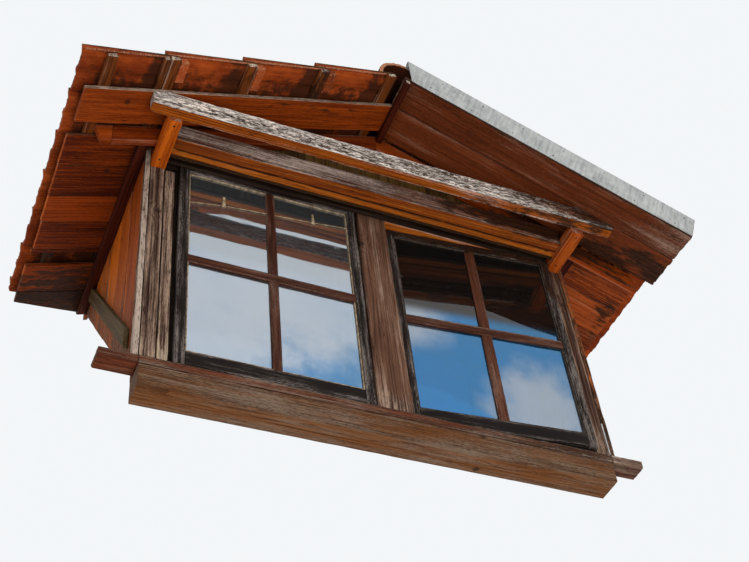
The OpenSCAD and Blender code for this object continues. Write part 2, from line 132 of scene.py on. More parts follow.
def rows_of(*columns: Array) -> Array:
    """Arrays of one shape as the columns of an (n, 3) table."""
    return np.stack(np.broadcast_arrays(*columns), -1).reshape(-1, len(columns))


@dataclass(frozen=True)
class Cut:
    """A flat cut: what is kept has normal . point at most reach."""

    normal: Triple
    reach: float


@dataclass(frozen=True)
class Layout:
    """The main lines of the dormer, as the frame has them."""

    post_half: float = 913.0
    post_w: float = 58.0
    clear_half: float = 854.7
    wall_half: float = 935.0
    face_y: float = -55.0
    post_back: float = 45.0
    sill_top: float = 125.0
    post_top: float = 1137.0
    plate_top: float = 1195.0
    tie_low: float = 1155.0
    mid_x: float = 24.0
    mid_half: float = 72.5
    rafter_front: float = -145.0
    rafter_back: float = -117.3
    rafter_drop: float = 72.0
    verge_front: float = -475.0
    front_seam: float = -163.0
    ridge_x: float = 48.0
    ridge_z: float = 1615.0
    rise: float = 372.0
    eave: float = 315.0
    right_eave: float = 70.0
    board_t: float = 20.0
    steep: float = math.radians(52.0)

    @property
    def slope(self) -> float:
        """Rise of the steep roof per level millimetre."""
        return math.tan(self.steep)

    @property
    def up_steep(self) -> Array:
        """Unit vector up the steep roof."""
        return np.array([0.0, math.cos(self.steep), math.sin(self.steep)])

    @property
    def off_steep(self) -> Array:
        """Unit vector out of the steep roof."""
        return np.cross((1.0, 0.0, 0.0), self.up_steep)

    def post_x(self, side: int) -> list[float]:
        """Left and right side of a corner post."""
        return sorted((side * (self.post_half - self.post_w), side * self.post_half))

    def span(self, side: int) -> float:
        """Level distance from the ridge to the cheek's outer face."""
        return self.wall_half - side * self.ridge_x

    def fall(self, side: int) -> float:
        """Drop of the roof per level millimetre."""
        return self.rise / self.span(side)

    def pitch(self, side: int) -> float:
        """Roof pitch in radians."""
        return math.atan(self.fall(side))

    def roof_z(self, x: Any) -> Any:
        """Height of the roof boards' underside over a place in X."""
        off = np.asarray(x, float) - self.ridge_x
        return self.ridge_z - np.where(off < 0, self.fall(-1), self.fall(1)) * np.abs(off)

    def eave_s(self, side: int, extra: float = 0.0) -> float:
        """Distance from the ridge to the eave along the slope."""
        return (self.span(side) + self.eave + extra) / math.cos(self.pitch(side))

    def sole_z(self, y: Any) -> Any:
        """Height of the steep roof that the dormer stands on."""
        return (np.asarray(y, float) - self.face_y) * self.slope

    def valley(self, lift: float = 0.0) -> Cut:
        """The cut along the steep roof: slope times y minus z stays under the face line."""
        return Cut((0.0, self.slope, -1.0), self.slope * self.face_y - lift)

    def under_roof(self, side: int, gap: float = 0.3) -> Cut:
        """The cut along the underside of one roof side."""
        k = self.fall(side)
        return Cut((side * k, 0.0, 1.0), self.ridge_z + side * k * self.ridge_x - gap)


LINES = Layout()


@dataclass(frozen=True)
class Wear:
    """How far each side of a timber has gone from fresh (0) to silver (1), and how unevenly."""

    front: float = 0.6
    below: float = 0.2
    above: float = 0.7
    back: float = 0.3
    side: float = 0.5
    end: float = 0.6
    arris: float = 0.2
    rot: float = 0.0

    def over(self, normals: Array) -> Array:
        """Weathering by direction: each side's value weighted by the squared part of the normal.

        Args:
            normals: outward unit vectors, last axis X, Y, Z.

        Returns:
            One value per normal.
        """
        n2 = normals**2
        ahead = np.where(normals[..., 1] < 0, self.front, self.back)
        level = np.where(normals[..., 2] < 0, self.below, self.above)
        return n2[..., 0] * self.side + n2[..., 1] * ahead + n2[..., 2] * level


@dataclass(frozen=True)
class Relief:
    """Depth in mm of the marks on a timber's surface, all cut inwards."""

    fibre: float = 0.35
    hollow: float = 0.8
    worn: float = 1.6
    chip: float = 2.0
    radius: float = 2.5


@dataclass(frozen=True)
class Split:
    """A drying crack along a timber: centre in mm round the section, run along it, width and depth."""

    around: float
    start: float
    end: float
    width: float = 2.0
    depth: float = 5.0


@dataclass(frozen=True)
class Spot:
    """A local change of weathering or rot, fading out from a centre in the frame; rot spots also serve as
    painted shade.
    """

    centre: Triple
    size: Triple
    wear: float = 0.0
    rot: float = 0.0


def placed(name: str, data: Any) -> Object:
    """A new object at the origin, linked to the scene."""
    made = bpy.data.objects.new(name, data)
    bpy.context.scene.collection.objects.link(made)
    return made


@dataclass
class Piece:
    """Gathers the surfaces of one piece and writes them as one mesh."""

    name: str
    slot: str
    node: str
    crease: float = 20.0
    points: list[Array] = field(default_factory=list)
    quads: list[Array] = field(default_factory=list)
    grain: list[Array] = field(default_factory=list)
    state: list[Array] = field(default_factory=list)
    looks: list[Array] = field(default_factory=list)
    count: int = 0

    def add(self, points: Points, faces: Array, grain: Points, state: Points, look: Any = 0) -> None:
        """Add one closed surface.

        Args:
            points: (n, 3) places in mm.
            faces: (m, 4) corner numbers; a triangle repeats its last corner.
            grain: (n, 3) wood or surface coordinates in mm.
            state: (n, 3) weathering, rot and tint from 0 to 1.
            look: number of the finish in the piece's list, one for all faces or one each.
        """
        self.points.append(points)
        self.quads.append(faces + self.count)
        self.grain.append(grain)
        self.state.append(np.broadcast_to(state, points.shape))
        self.looks.append(np.broadcast_to(look, len(faces)))
        self.count += len(points)

    def build(self, *finishes: Any) -> None:
        """Write the mesh with its grain and state attributes and put it on the frame.

        Args:
            finishes: the piece's finishes, in the order of their look numbers.
        """
        points = join(self.points) * METRE
        quads = join(self.quads)
        three = quads[:, 2] == quads[:, 3]
        sizes = np.where(three, 3, 4)
        keep = np.ones(quads.shape, bool)
        keep[three, 3] = False
        mesh = bpy.data.meshes.new(self.name)
        mesh.vertices.add(len(points))
        mesh.vertices.foreach_set("co", points.astype(np.float32).ravel())
        mesh.loops.add(int(sizes.sum()))
        mesh.loops.foreach_set("vertex_index", quads[keep].astype(np.int32))
        mesh.polygons.add(len(quads))
        mesh.polygons.foreach_set("loop_start", join([[0], np.cumsum(sizes)[:-1]]).astype(np.int32))
        mesh.polygons.foreach_set("material_index", join(self.looks).astype(np.int32))
        mesh.polygons.foreach_set("use_smooth", np.ones(len(quads), bool))
        for title, rows, scale in (("grain", self.grain, METRE), ("state", self.state, 1.0)):
            layer = mesh.attributes.new(title, "FLOAT_VECTOR", "POINT")
            layer.data.foreach_set("vector", (join(rows) * scale).astype(np.float32).ravel())
        mesh.update(calc_edges=True)
        mesh.validate(clean_customdata=False)
        mesh.set_sharp_from_angle(angle=math.radians(self.crease))
        for finish in finishes:
            mesh.materials.append(finish.material())
        piece = placed(self.name, mesh)
        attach(piece, "root")
        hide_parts(self.node)
        LOG.info("%s: %d points, %d faces", self.name, len(points), len(quads))


def joined_grid(rows: int, cols: int, closed: bool = False) -> Array:
    """Corner numbers of a grid of quads.

    Args:
        rows: points along the first direction.
        cols: points along the second direction.
        closed: True where the second direction closes on itself.

    Returns:
        (faces, 4) numbers, turning from the second direction to the first.
    """
    i = np.arange(rows - 1)[:, None]
    j = np.arange(cols if closed else cols - 1)[None, :]
    i, j, k = np.broadcast_arrays(i, j, (j + 1) % cols)
    return np.stack([i * cols + j, i * cols + k, (i + 1) * cols + k, (i + 1) * cols + j], -1).reshape(-1, 4)


def shell(rows: int, cols: int) -> Array:
    """Corner numbers of a sheet with thickness: its top, its turned underside and the wall round both.

    Args:
        rows: points along the first direction.
        cols: points along the second direction.

    Returns:
        (faces, 4) numbers; the underside's points follow the top's.
    """
    grid, under = joined_grid(rows, cols), rows * cols
    rim = join([
        np.arange(cols), np.arange(1, rows) * cols + cols - 1,
        (rows - 1) * cols + np.arange(cols - 2, -1, -1), np.arange(rows - 2, 0, -1) * cols,
    ])
    after = np.roll(rim, -1)
    wall = np.stack([rim, rim + under, after + under, after], -1)
    return join([grid, grid[:, ::-1] + under, wall])


@dataclass(frozen=True)
class Ring:
    """Outline of a rounded rectangle, from its lower left corner and turning to the right.

    Holds each point's corner centre as a share of the half size, its normal, its distance
    round the outline in mm and its nearness to an arris, which is e to the minus gap over 9.
    """

    cx: Array
    cy: Array
    nx: Array
    ny: Array
    around: Array
    corner: Array


def section_ring(width: float, height: float, radius: float, steps: Sequence[int]) -> Ring:
    """The outline of a timber's section.

    Each point is corner centre plus radius times normal, where the corner centres lie at the half
    sizes less the radius and the points of a side are spaced evenly between two corners.

    Args:
        width: size along the first section axis.
        height: size along the second.
        radius: rounding of the four arrises.
        steps: number of spaces on the lower, right, upper and left side.

    Returns:
        The ring of points.
    """
    corners = ((-1, -1), (1, -1), (1, 1), (-1, 1))
    outward = ((0, -1), (1, 0), (0, 1), (-1, 0))
    table = []
    for (ax, ay), (bx, by), (sx, sy), spaces in zip(corners, corners[1:] + corners[:1], outward, steps):
        turn = math.atan2(sy, sx) + math.pi / 4
        table += [(ax + (bx - ax) * f, ay + (by - ay) * f, sx, sy) for f in np.linspace(0, 1, spaces + 1)]
        table.append((bx, by, math.cos(turn), math.sin(turn)))
    cx, cy, nx, ny = np.array(table, float).T
    px, py = cx * (width / 2 - radius) + nx * radius, cy * (height / 2 - radius) + ny * radius
    leg = np.hypot(np.diff(px, append=px[0]), np.diff(py, append=py[0]))
    around = join([[0], np.cumsum(leg)[:-1]])
    gap = np.hypot(width / 2 - np.abs(px), height / 2 - np.abs(py))
    return Ring(cx, cy, nx, ny, around, np.exp(-gap / 9.0))


@dataclass
class Timber:
    """One piece of wood: a rounded section carried along an axis between two cuts, then worn."""

    start: Numbers
    axis: Numbers
    across: Numbers
    length: float
    width: float
    height: float
    wear: Wear = Wear()
    relief: Relief = Relief()
    seed: int = 1
    step: float = 22.0
    fine: float = 6.0
    start_cuts: tuple[Cut, ...] = ()
    end_cuts: tuple[Cut, ...] = ()
    end_width: float | None = None
    bow: Pair = (0.0, 0.0)
    splits: tuple[Split, ...] = ()
    spots: tuple[Spot, ...] = ()
    reshape: Reshape | None = None
    hidden: str = ""
    ragged: Pair = (1.0, 1.0)
    end_look: int | None = None

    def spaces(self) -> list[int]:
        """Number of mesh spaces on each side of the section; hidden sides get few."""
        sizes = (self.width, self.height, self.width, self.height)
        return [1 if str(k) in self.hidden else max(1, round(s / self.fine)) for k, s in enumerate(sizes)]

    def feet(self, p: Array, q: Array) -> Points:
        """Where the lines along the axis start: start + p * across + q * up."""
        w = unit(self.across)
        return np.asarray(self.start, float) + p[..., None] * w + q[..., None] * np.cross(unit(self.axis), w)

    def reach(self, p: Array, q: Array, first: bool) -> Array:
        """Where the lines end: at the cuts, drawn back by ragged times squared noise over the section.

        Args:
            p: places of the lines along the first section axis.
            q: places along the second.
            first: True for the start, where the furthest cut counts, else the nearest.

        Returns:
            Distance along the axis, per line.
        """
        a, lines = unit(self.axis), self.feet(p, q)
        best = np.full(p.shape, 0.0 if first else self.length)
        for cut in self.start_cuts if first else self.end_cuts:
            n = np.asarray(cut.normal)
            t = (cut.reach - lines @ n) / (n @ a)
            best = np.maximum(best, t) if first else np.minimum(best, t)
        nick = fractal(p / 14.0, q / 14.0, self.seed + 40) ** 2
        return best + (self.ragged[0] if first else -self.ragged[1]) * nick

    def depth(self, t: Array, around: Array, corner: Array) -> Array:
        """Depth of wear in mm: fibre ridges, broad hollows, worn arrises, chips and splits.

        Args:
            t: distance along the timber.
            around: distance round the section.
            corner: nearness to an arris, 0 to 1.

        Returns:
            Inward depth per point.
        """
        r = self.relief
        lines = np.abs(2 * noise(t / 120.0, around / 3.1, self.seed) - 1)
        broad = fractal(t / 210.0, around / 60.0, self.seed + 5)
        chips = np.clip(fractal(t / 38.0, around / 45.0, self.seed + 9) - 0.62, 0, 1) * 2.6
        worn = noise(t / 75.0, around / 90.0, self.seed + 3)
        d = r.fibre * lines + r.hollow * broad**2 + corner * (r.worn * worn**2 + r.chip * chips)
        for k, s in enumerate(self.splits):
            line = s.around + 5.0 * (noise(t / 110.0, 0 * t, self.seed + 31 + k) - 0.5)
            along = np.clip((t - s.start) / 60.0, 0, 1) * np.clip((s.end - t) / 60.0, 0, 1)
            d = d + s.depth * along * bell(around - line, s.width)
        return d

    def conditions(self, points: Points, normals: Points, corner: Array) -> Array:
        """Weathering, rot and tint of each point; the rot also carries painted shade from some spots.

        Args:
            points: places in mm.
            normals: outward unit vectors.
            corner: nearness to an arris.

        Returns:
            (n, 3) values from 0 to 1.
        """
        w = self.wear.over(normals) + self.wear.arris * corner
        rot = np.full(w.shape, self.wear.rot)
        for b in self.spots:
            fade = np.exp(-(((points - np.asarray(b.centre)) / np.asarray(b.size)) ** 2).sum(-1))
            w, rot = w + b.wear * fade, rot + b.rot * fade
        return rows_of(np.clip(w, 0, 1.4), np.clip(rot, 0, 1), np.full(w.shape, chance(self.seed, 7, 3)))

    def cap(self, p: Points, q: Points, state: Points, ring: Array, first: bool) -> list[Array]:
        """One end: four shrinking copies of its ring and a middle point, each on its own line.

        Args:
            p: the ring's places along the first section axis.
            q: its places along the second.
            state: its conditions.
            ring: its point numbers, followed by the number of the end's first own point.
            first: True for the start.

        Returns:
            Points, faces, grain and state of the end.
        """
        cols = len(p)
        scales = np.array([0.82, 0.6, 0.36, 0.14])[:, None]
        p, q = p * scales, q * scales
        t = self.reach(p, q, first)
        points = (self.feet(p, q) + t[..., None] * unit(self.axis)).reshape(-1, 3)
        ids = join([ring[:-1], ring[-1] + np.arange(4 * cols)]).reshape(5, cols)
        after = np.roll(ids, -1, axis=1)
        middle = np.full(cols, ring[-1] + 4 * cols)
        sheet = np.stack([ids[:-1], after[:-1], after[1:], ids[1:]], -1).reshape(-1, 4)
        fan = np.stack([*((after[-1], ids[-1]) if first else (ids[-1], after[-1])), middle, middle], -1)
        grain, worn = rows_of(t, p, q), np.tile(state, (4, 1))
        worn[:, 0] = self.wear.end
        return [
            join([points, points[-cols:].mean(0, keepdims=True)]),
            join([sheet[:, ::-1] if first else sheet, fan]),
            join([grain, grain[-cols:].mean(0, keepdims=True)]), join([worn, worn[:1]]),
        ]

    def make(self, piece: Piece, look: int = 0) -> None:
        """Work out the surface and add it to a piece.

        A point is start + t * axis + p * across + q * up - depth * normal, where t runs between
        the cuts of its own line and p, q follow the section; each end closes with shrinking rings.

        Args:
            piece: what the timber belongs to.
            look: number of its finish.
        """
        a, w = unit(self.axis), unit(self.across)
        h = np.cross(a, w)
        ring = section_ring(self.width, self.height, self.relief.radius, self.spaces())
        r = self.relief.radius
        soft = np.array([0.0, 0.45, 1.0]) * r
        inner = np.linspace(r, self.length - r, max(2, round(self.length / self.step)) + 1)
        d = join([soft[:-1], inner, self.length - soft[-2::-1]])[:, None]
        edge = np.minimum(np.minimum(d, self.length - d), r)
        shrink = r - np.sqrt(np.maximum(r * r - (r - edge) ** 2, 0))
        end_w = self.width if self.end_width is None else self.end_width
        grow = 1 + (end_w / self.width - 1) * d / self.length
        p = (ring.cx * (self.width / 2 - r) + ring.nx * r) * grow - shrink * ring.nx
        q = (ring.cy * (self.height / 2 - r) + ring.ny * r) + 0 * d - shrink * ring.ny
        t0, t1 = self.reach(p, q, True), self.reach(p, q, False)
        share = d / self.length
        t = t0 + share * (t1 - t0)
        normal = ring.nx[:, None] * w + ring.ny[:, None] * h
        deep = self.depth(t, ring.around[None, :], ring.corner[None, :])
        arc = np.sin(np.pi * share) * np.ones_like(t)
        body = self.feet(p, q) + t[..., None] * a - deep[..., None] * normal[None]
        body = body + arc[..., None] * (self.bow[0] * w + self.bow[1] * h)
        rows, cols = t.shape
        state = self.conditions(body, np.broadcast_to(normal, body.shape), np.tile(ring.corner, (rows, 1)))
        parts = [[body.reshape(-1, 3), joined_grid(rows, cols, True), rows_of(t, p, q), state]]
        for first, row in ((True, 0), (False, rows - 1)):
            own = np.arange(cols) + row * cols
            number = sum(len(part[0]) for part in parts)
            parts.append(self.cap(p[row], q[row], state[own], np.append(own, number), first))
        points, faces, grain, state = (join(column) for column in zip(*parts))
        if self.reshape is not None:
            points = self.reshape(points)
        shift = lattice(np.array([1, 2, 3]), np.array([self.seed] * 3), 11) * (900.0, 60.0, 40.0)
        looks = np.full(len(faces), look if self.end_look is None else self.end_look)
        looks[: len(parts[0][1])] = look
        piece.add(points, faces, grain + shift, state, looks)


def beam(box: Numbers, along: str, **words: Any) -> Timber:
    """A timber that fills a box and runs along one of its axes.

    Args:
        box: x0, x1, y0, y1, z0, z1 in mm.
        along: x, y or z.
        words: further fields of the timber.

    Returns:
        The timber; its section's first axis is Y, -X or X, so its second is Z, Z or Y.
    """
    x0, x1, y0, y1, z0, z1 = box
    mx, my, mz = (x0 + x1) / 2, (y0 + y1) / 2, (z0 + z1) / 2
    if along == "x":
        return Timber((x0, my, mz), (1, 0, 0), (0, 1, 0), x1 - x0, y1 - y0, z1 - z0, **words)
    if along == "y":
        return Timber((mx, y0, mz), (0, 1, 0), (-1, 0, 0), y1 - y0, x1 - x0, z1 - z0, **words)
    return Timber((mx, my, z0), (0, 0, 1), (1, 0, 0), z1 - z0, x1 - x0, y1 - y0, **words)


def framed(x: Numbers, y: Numbers, z: Numbers, wide: Numbers) -> list[tuple]:
    """Boxes of a rectangular frame: two uprights at full height and two rails between them.

    Args:
        x: its outer sides.
        y: its front and back.
        z: its bottom and top.
        wide: widths of the uprights, of the lower rail and of the upper rail.

    Returns:
        A box and the axis that its timber runs along, for left, right, bottom and top.
    """
    (x0, x1), (z0, z1), (post, low, top) = x, z, wide
    return [((x0, x0 + post, *y, z0, z1), "z"), ((x1 - post, x1, *y, z0, z1), "z"),
            ((x0 + post, x1 - post, *y, z0, z0 + low), "x"), ((x0 + post, x1 - post, *y, z1 - top, z1), "x")]


@dataclass(frozen=True)
class Slope:
    """One side of the dormer's roof: s runs down from the ridge, t square to the boards."""

    side: int

    @property
    def down(self) -> Array:
        """Unit vector down the slope."""
        p = LINES.pitch(self.side)
        return np.array([self.side * math.cos(p), 0.0, -math.sin(p)])

    @property
    def up(self) -> Array:
        """Unit vector square to the boards."""
        p = LINES.pitch(self.side)
        return np.array([self.side * math.sin(p), 0.0, math.cos(p)])

    def place(self, s: Any, y: Any, t: Any) -> Array:
        """Points at s down the slope, at y and t over the boards' underside: ridge + s down + t up."""
        s, y, t = np.broadcast_arrays(*(np.asarray(v, float) for v in (s, y, t)))
        ridge = np.array([LINES.ridge_x, 0.0, LINES.ridge_z])
        out = ridge + s[..., None] * self.down + t[..., None] * self.up
        out[..., 1] = y
        return out

    def plumb(self, inset: float = 0.0) -> Cut:
        """The plumb cut at the ridge, kept on this side."""
        return Cut((-self.side * 1.0, 0.0, 0.0), -self.side * (LINES.ridge_x + self.side * inset))

    def board(self, s: Numbers, y: Numbers, t: Numbers, **words: Any) -> Timber:
        """A board that runs down the slope.

        Args:
            s: its ends along the slope.
            y: its front and rear edge.
            t: its underside and top over the boards' underside.
            words: further fields of the timber.

        Returns:
            The timber, whose section's first axis is Y.
        """
        (s0, s1), (y0, y1), (t0, t1) = s, y, t
        start = self.place(s0, (y0 + y1) / 2, (t0 + t1) / 2)
        return Timber(start, self.down, (0.0, 1.0 * self.side, 0.0), s1 - s0, y1 - y0, t1 - t0, **words)


def nails(piece: Piece, places: Points, normal: Numbers, radius: float, look: int = 1) -> None:
    """Domed nail heads: circles of 8 points at 1, 1 and 0.6 of the radius, rising to the middle.

    Args:
        piece: what they are driven into.
        places: (n, 3) points on its surface.
        normal: direction out of the surface.
        radius: of a head.
        look: number of their finish.
    """
    n = unit(normal)
    a = unit(np.cross(n, (0.31, 0.17, 0.94)))
    turn = np.arange(8) * math.pi / 4
    circle = np.cos(turn)[:, None] * a + np.sin(turn)[:, None] * np.cross(n, a)
    rings = [circle * radius * k + n * radius * rise for k, rise in ((1.0, -0.5), (1.0, 0.1), (0.6, 0.36))]
    shape = join(rings + [n[None] * radius * 0.42, n[None] * radius * -0.5])
    i = np.arange(8)
    j = (i + 1) % 8
    top, foot = np.full(8, 24), np.full(8, 25)
    faces = join([
        np.stack([i, j, j + 8, i + 8], -1), np.stack([i + 8, j + 8, j + 16, i + 16], -1),
        np.stack([i + 16, j + 16, top, top], -1), np.stack([j, i, foot, foot], -1),
    ])
    places = np.asarray(places, float)
    points = (places[:, None, :] + shape[None]).reshape(-1, 3)
    every = (faces[None] + len(shape) * np.arange(len(places))[:, None, None]).reshape(-1, 4)
    piece.add(points, every, points, (0.5, 0.0, 0.5), look)


def linear(code: str) -> tuple[float, float, float, float]:
    """A colour written as six hexadecimal digits, as linear light."""
    parts = [int(code[k : k + 2], 16) / 255 for k in (0, 2, 4)]
    return (*[v / 12.92 if v <= 0.04045 else ((v + 0.055) / 1.055) ** 2.4 for v in parts], 1.0)


@dataclass(frozen=True)
class Field:
    """Something that varies over the surface: a node's socket that takes part in sums and products."""

    graph: "Graph"
    socket: NodeSocket

    def __add__(self, other: Any) -> "Field":
        """The sum with a field or a number."""
        return self.graph.math("ADD", self, other)

    def __mul__(self, other: Any) -> "Field":
        """The product with a field or a number."""
        return self.graph.math("MULTIPLY", self, other)

    def __truediv__(self, other: Any) -> "Field":
        """The quotient by a field or a number."""
        return self.graph.math("DIVIDE", self, other)

    def __sub__(self, other: Any) -> "Field":
        """The difference from a field or a number."""
        return self.graph.math("SUBTRACT", self, other)

    def __rsub__(self, other: Any) -> "Field":
        """A number less the field."""
        return self.graph.math("SUBTRACT", other, self)

    __radd__ = __add__
    __rmul__ = __mul__


class Graph:
    """Short way to write the nodes of a material or of the world."""

    def __init__(self, owner: Any, shader: str, output: str) -> None:
        """Start an empty tree with a shader on its output.

        Args:
            owner: the material or world.
            shader: kind of the shader node.
            output: kind of the output node.
        """
        owner.use_nodes = True
        self.owner = owner
        self.tree = owner.node_tree
        self.tree.nodes.clear()
        self.shader = self.node(shader)
        self.tree.links.new(self.shader.outputs[0], self.node(output).inputs[0])

    @classmethod
    def material(cls, name: str) -> "Graph":
        """A new material with a Principled shader."""
        return cls(bpy.data.materials.new(name), "ShaderNodeBsdfPrincipled", "ShaderNodeOutputMaterial")

    def node(self, kind: str, inputs: dict[Any, Any] | None = None, **settings: Any) -> Node:
        """Add a node, set its options and feed its inputs with fields or constants."""
        made = self.tree.nodes.new(kind)
        for key, value in settings.items():
            setattr(made, key, value)
        for key, value in (inputs or {}).items():
            self.feed(made.inputs[key], value)
        return made

    def value(self, output: Any, kind: str, inputs: dict[Any, Any] | None = None, **settings: Any) -> Field:
        """One output of a new node."""
        return Field(self, self.node(kind, inputs, **settings).outputs[output])

    def feed(self, socket: NodeSocket, value: Any) -> None:
        """Link or set one input; a colour may be six hexadecimal digits."""
        if isinstance(value, Field):
            self.tree.links.new(value.socket, socket)
        else:
            socket.default_value = linear(value) if isinstance(value, str) else value

    def math(self, kind: str, a: Any, b: Any = 0.0, clamp: bool = False) -> Field:
        """One Math node."""
        return self.value(0, "ShaderNodeMath", {0: a, 1: b}, operation=kind, use_clamp=clamp)

    def ease(self, value: Any, low: float, high: float) -> Field:
        """Smooth step from 0 at low to 1 at high."""
        inputs = {0: value, 1: low, 2: high, 3: 0.0, 4: 1.0}
        return self.value(0, "ShaderNodeMapRange", inputs, interpolation_type="SMOOTHSTEP")

    def mix(self, share: Any, a: Any, b: Any, kind: str = "MIX") -> Field:
        """Blend two colours."""
        inputs = {0: share, 6: a, 7: b}
        return self.value(2, "ShaderNodeMix", inputs, data_type="RGBA", blend_type=kind, clamp_factor=True)

    def attribute(self, name: str) -> Field:
        """A vector attribute of the mesh."""
        return self.value("Vector", "ShaderNodeAttribute", attribute_name=name, attribute_type="GEOMETRY")

    def place(self) -> Field:
        """The Object coordinates."""
        return self.value("Object", "ShaderNodeTexCoord")

    def parts(self, vector: Any) -> list[Field]:
        """A vector's three numbers."""
        made = self.node("ShaderNodeSeparateXYZ", {0: vector})
        return [Field(self, out) for out in made.outputs]

    def joined(self, x: Any, y: Any, z: Any = 0.0) -> Field:
        """A vector from three numbers."""
        return self.value(0, "ShaderNodeCombineXYZ", {0: x, 1: y, 2: z})

    def vector(self, kind: str, a: Any, b: Any = (0, 0, 0), c: Any = (0, 0, 0), output: Any = 0) -> Field:
        """One Vector Math node."""
        return self.value(output, "ShaderNodeVectorMath", {0: a, 1: b, 2: c}, operation=kind)

    def seen(self, first: str, *more: str) -> Field:
        """1 to any of the named kinds of ray, else 0."""
        rays = self.node("ShaderNodeLightPath").outputs
        seen = Field(self, rays[first])
        for ray in more:
            seen = self.math("MAXIMUM", seen, Field(self, rays[ray]))
        return seen

    def cloud(self, at: Any, scale: Any = 1.0, detail: float = 3.0, rough: float = 0.55,
              shift: Any = None) -> Field:
        """Noise from 0 to 1.

        Args:
            at: where it is read.
            scale: one number, or three for a pattern stretched by place times scale plus shift.
            detail: number of finer layers.
            rough: strength of the finer layers.
            shift: the stretched pattern's offset.

        Returns:
            The noise.
        """
        if isinstance(scale, tuple):
            at, scale = self.vector("MULTIPLY_ADD", at, scale, shift or (0, 0, 0)), 1.0
        inputs = {"Vector": at, "Scale": scale, "Detail": detail, "Roughness": rough}
        return self.value(0, "ShaderNodeTexNoise", inputs)

    def finish(self, colour: Any, rough: Any, **values: float) -> Material:
        """Feed the shader's inputs and give back its material; underscores in names stand for spaces."""
        inputs = {"Base Color": colour, "Roughness": rough}
        inputs.update({key.replace("_", " "): value for key, value in values.items()})
        for key, value in inputs.items():
            self.feed(self.shader.inputs[key], value)
        return self.owner

    def bump(self, height: Any, strength: float, distance: float, **more: Any) -> None:
        """Drive the shader's normal from a height."""
        inputs = {"Strength": strength, "Distance": distance, "Height": height, **more}
        self.feed(self.shader.inputs["Normal"], self.value(0, "ShaderNodeBump", inputs))


@dataclass(frozen=True)
class Finish:
    """A named finish, made once."""

    name: str

    def material(self) -> Material:
        """The finish as a node material."""
        return bpy.data.materials.get(self.name) or self.paint(Graph.material(self.name))

    def paint(self, g: Graph) -> Material:
        """Lay out the nodes; each finish has its own."""
        raise NotImplementedError


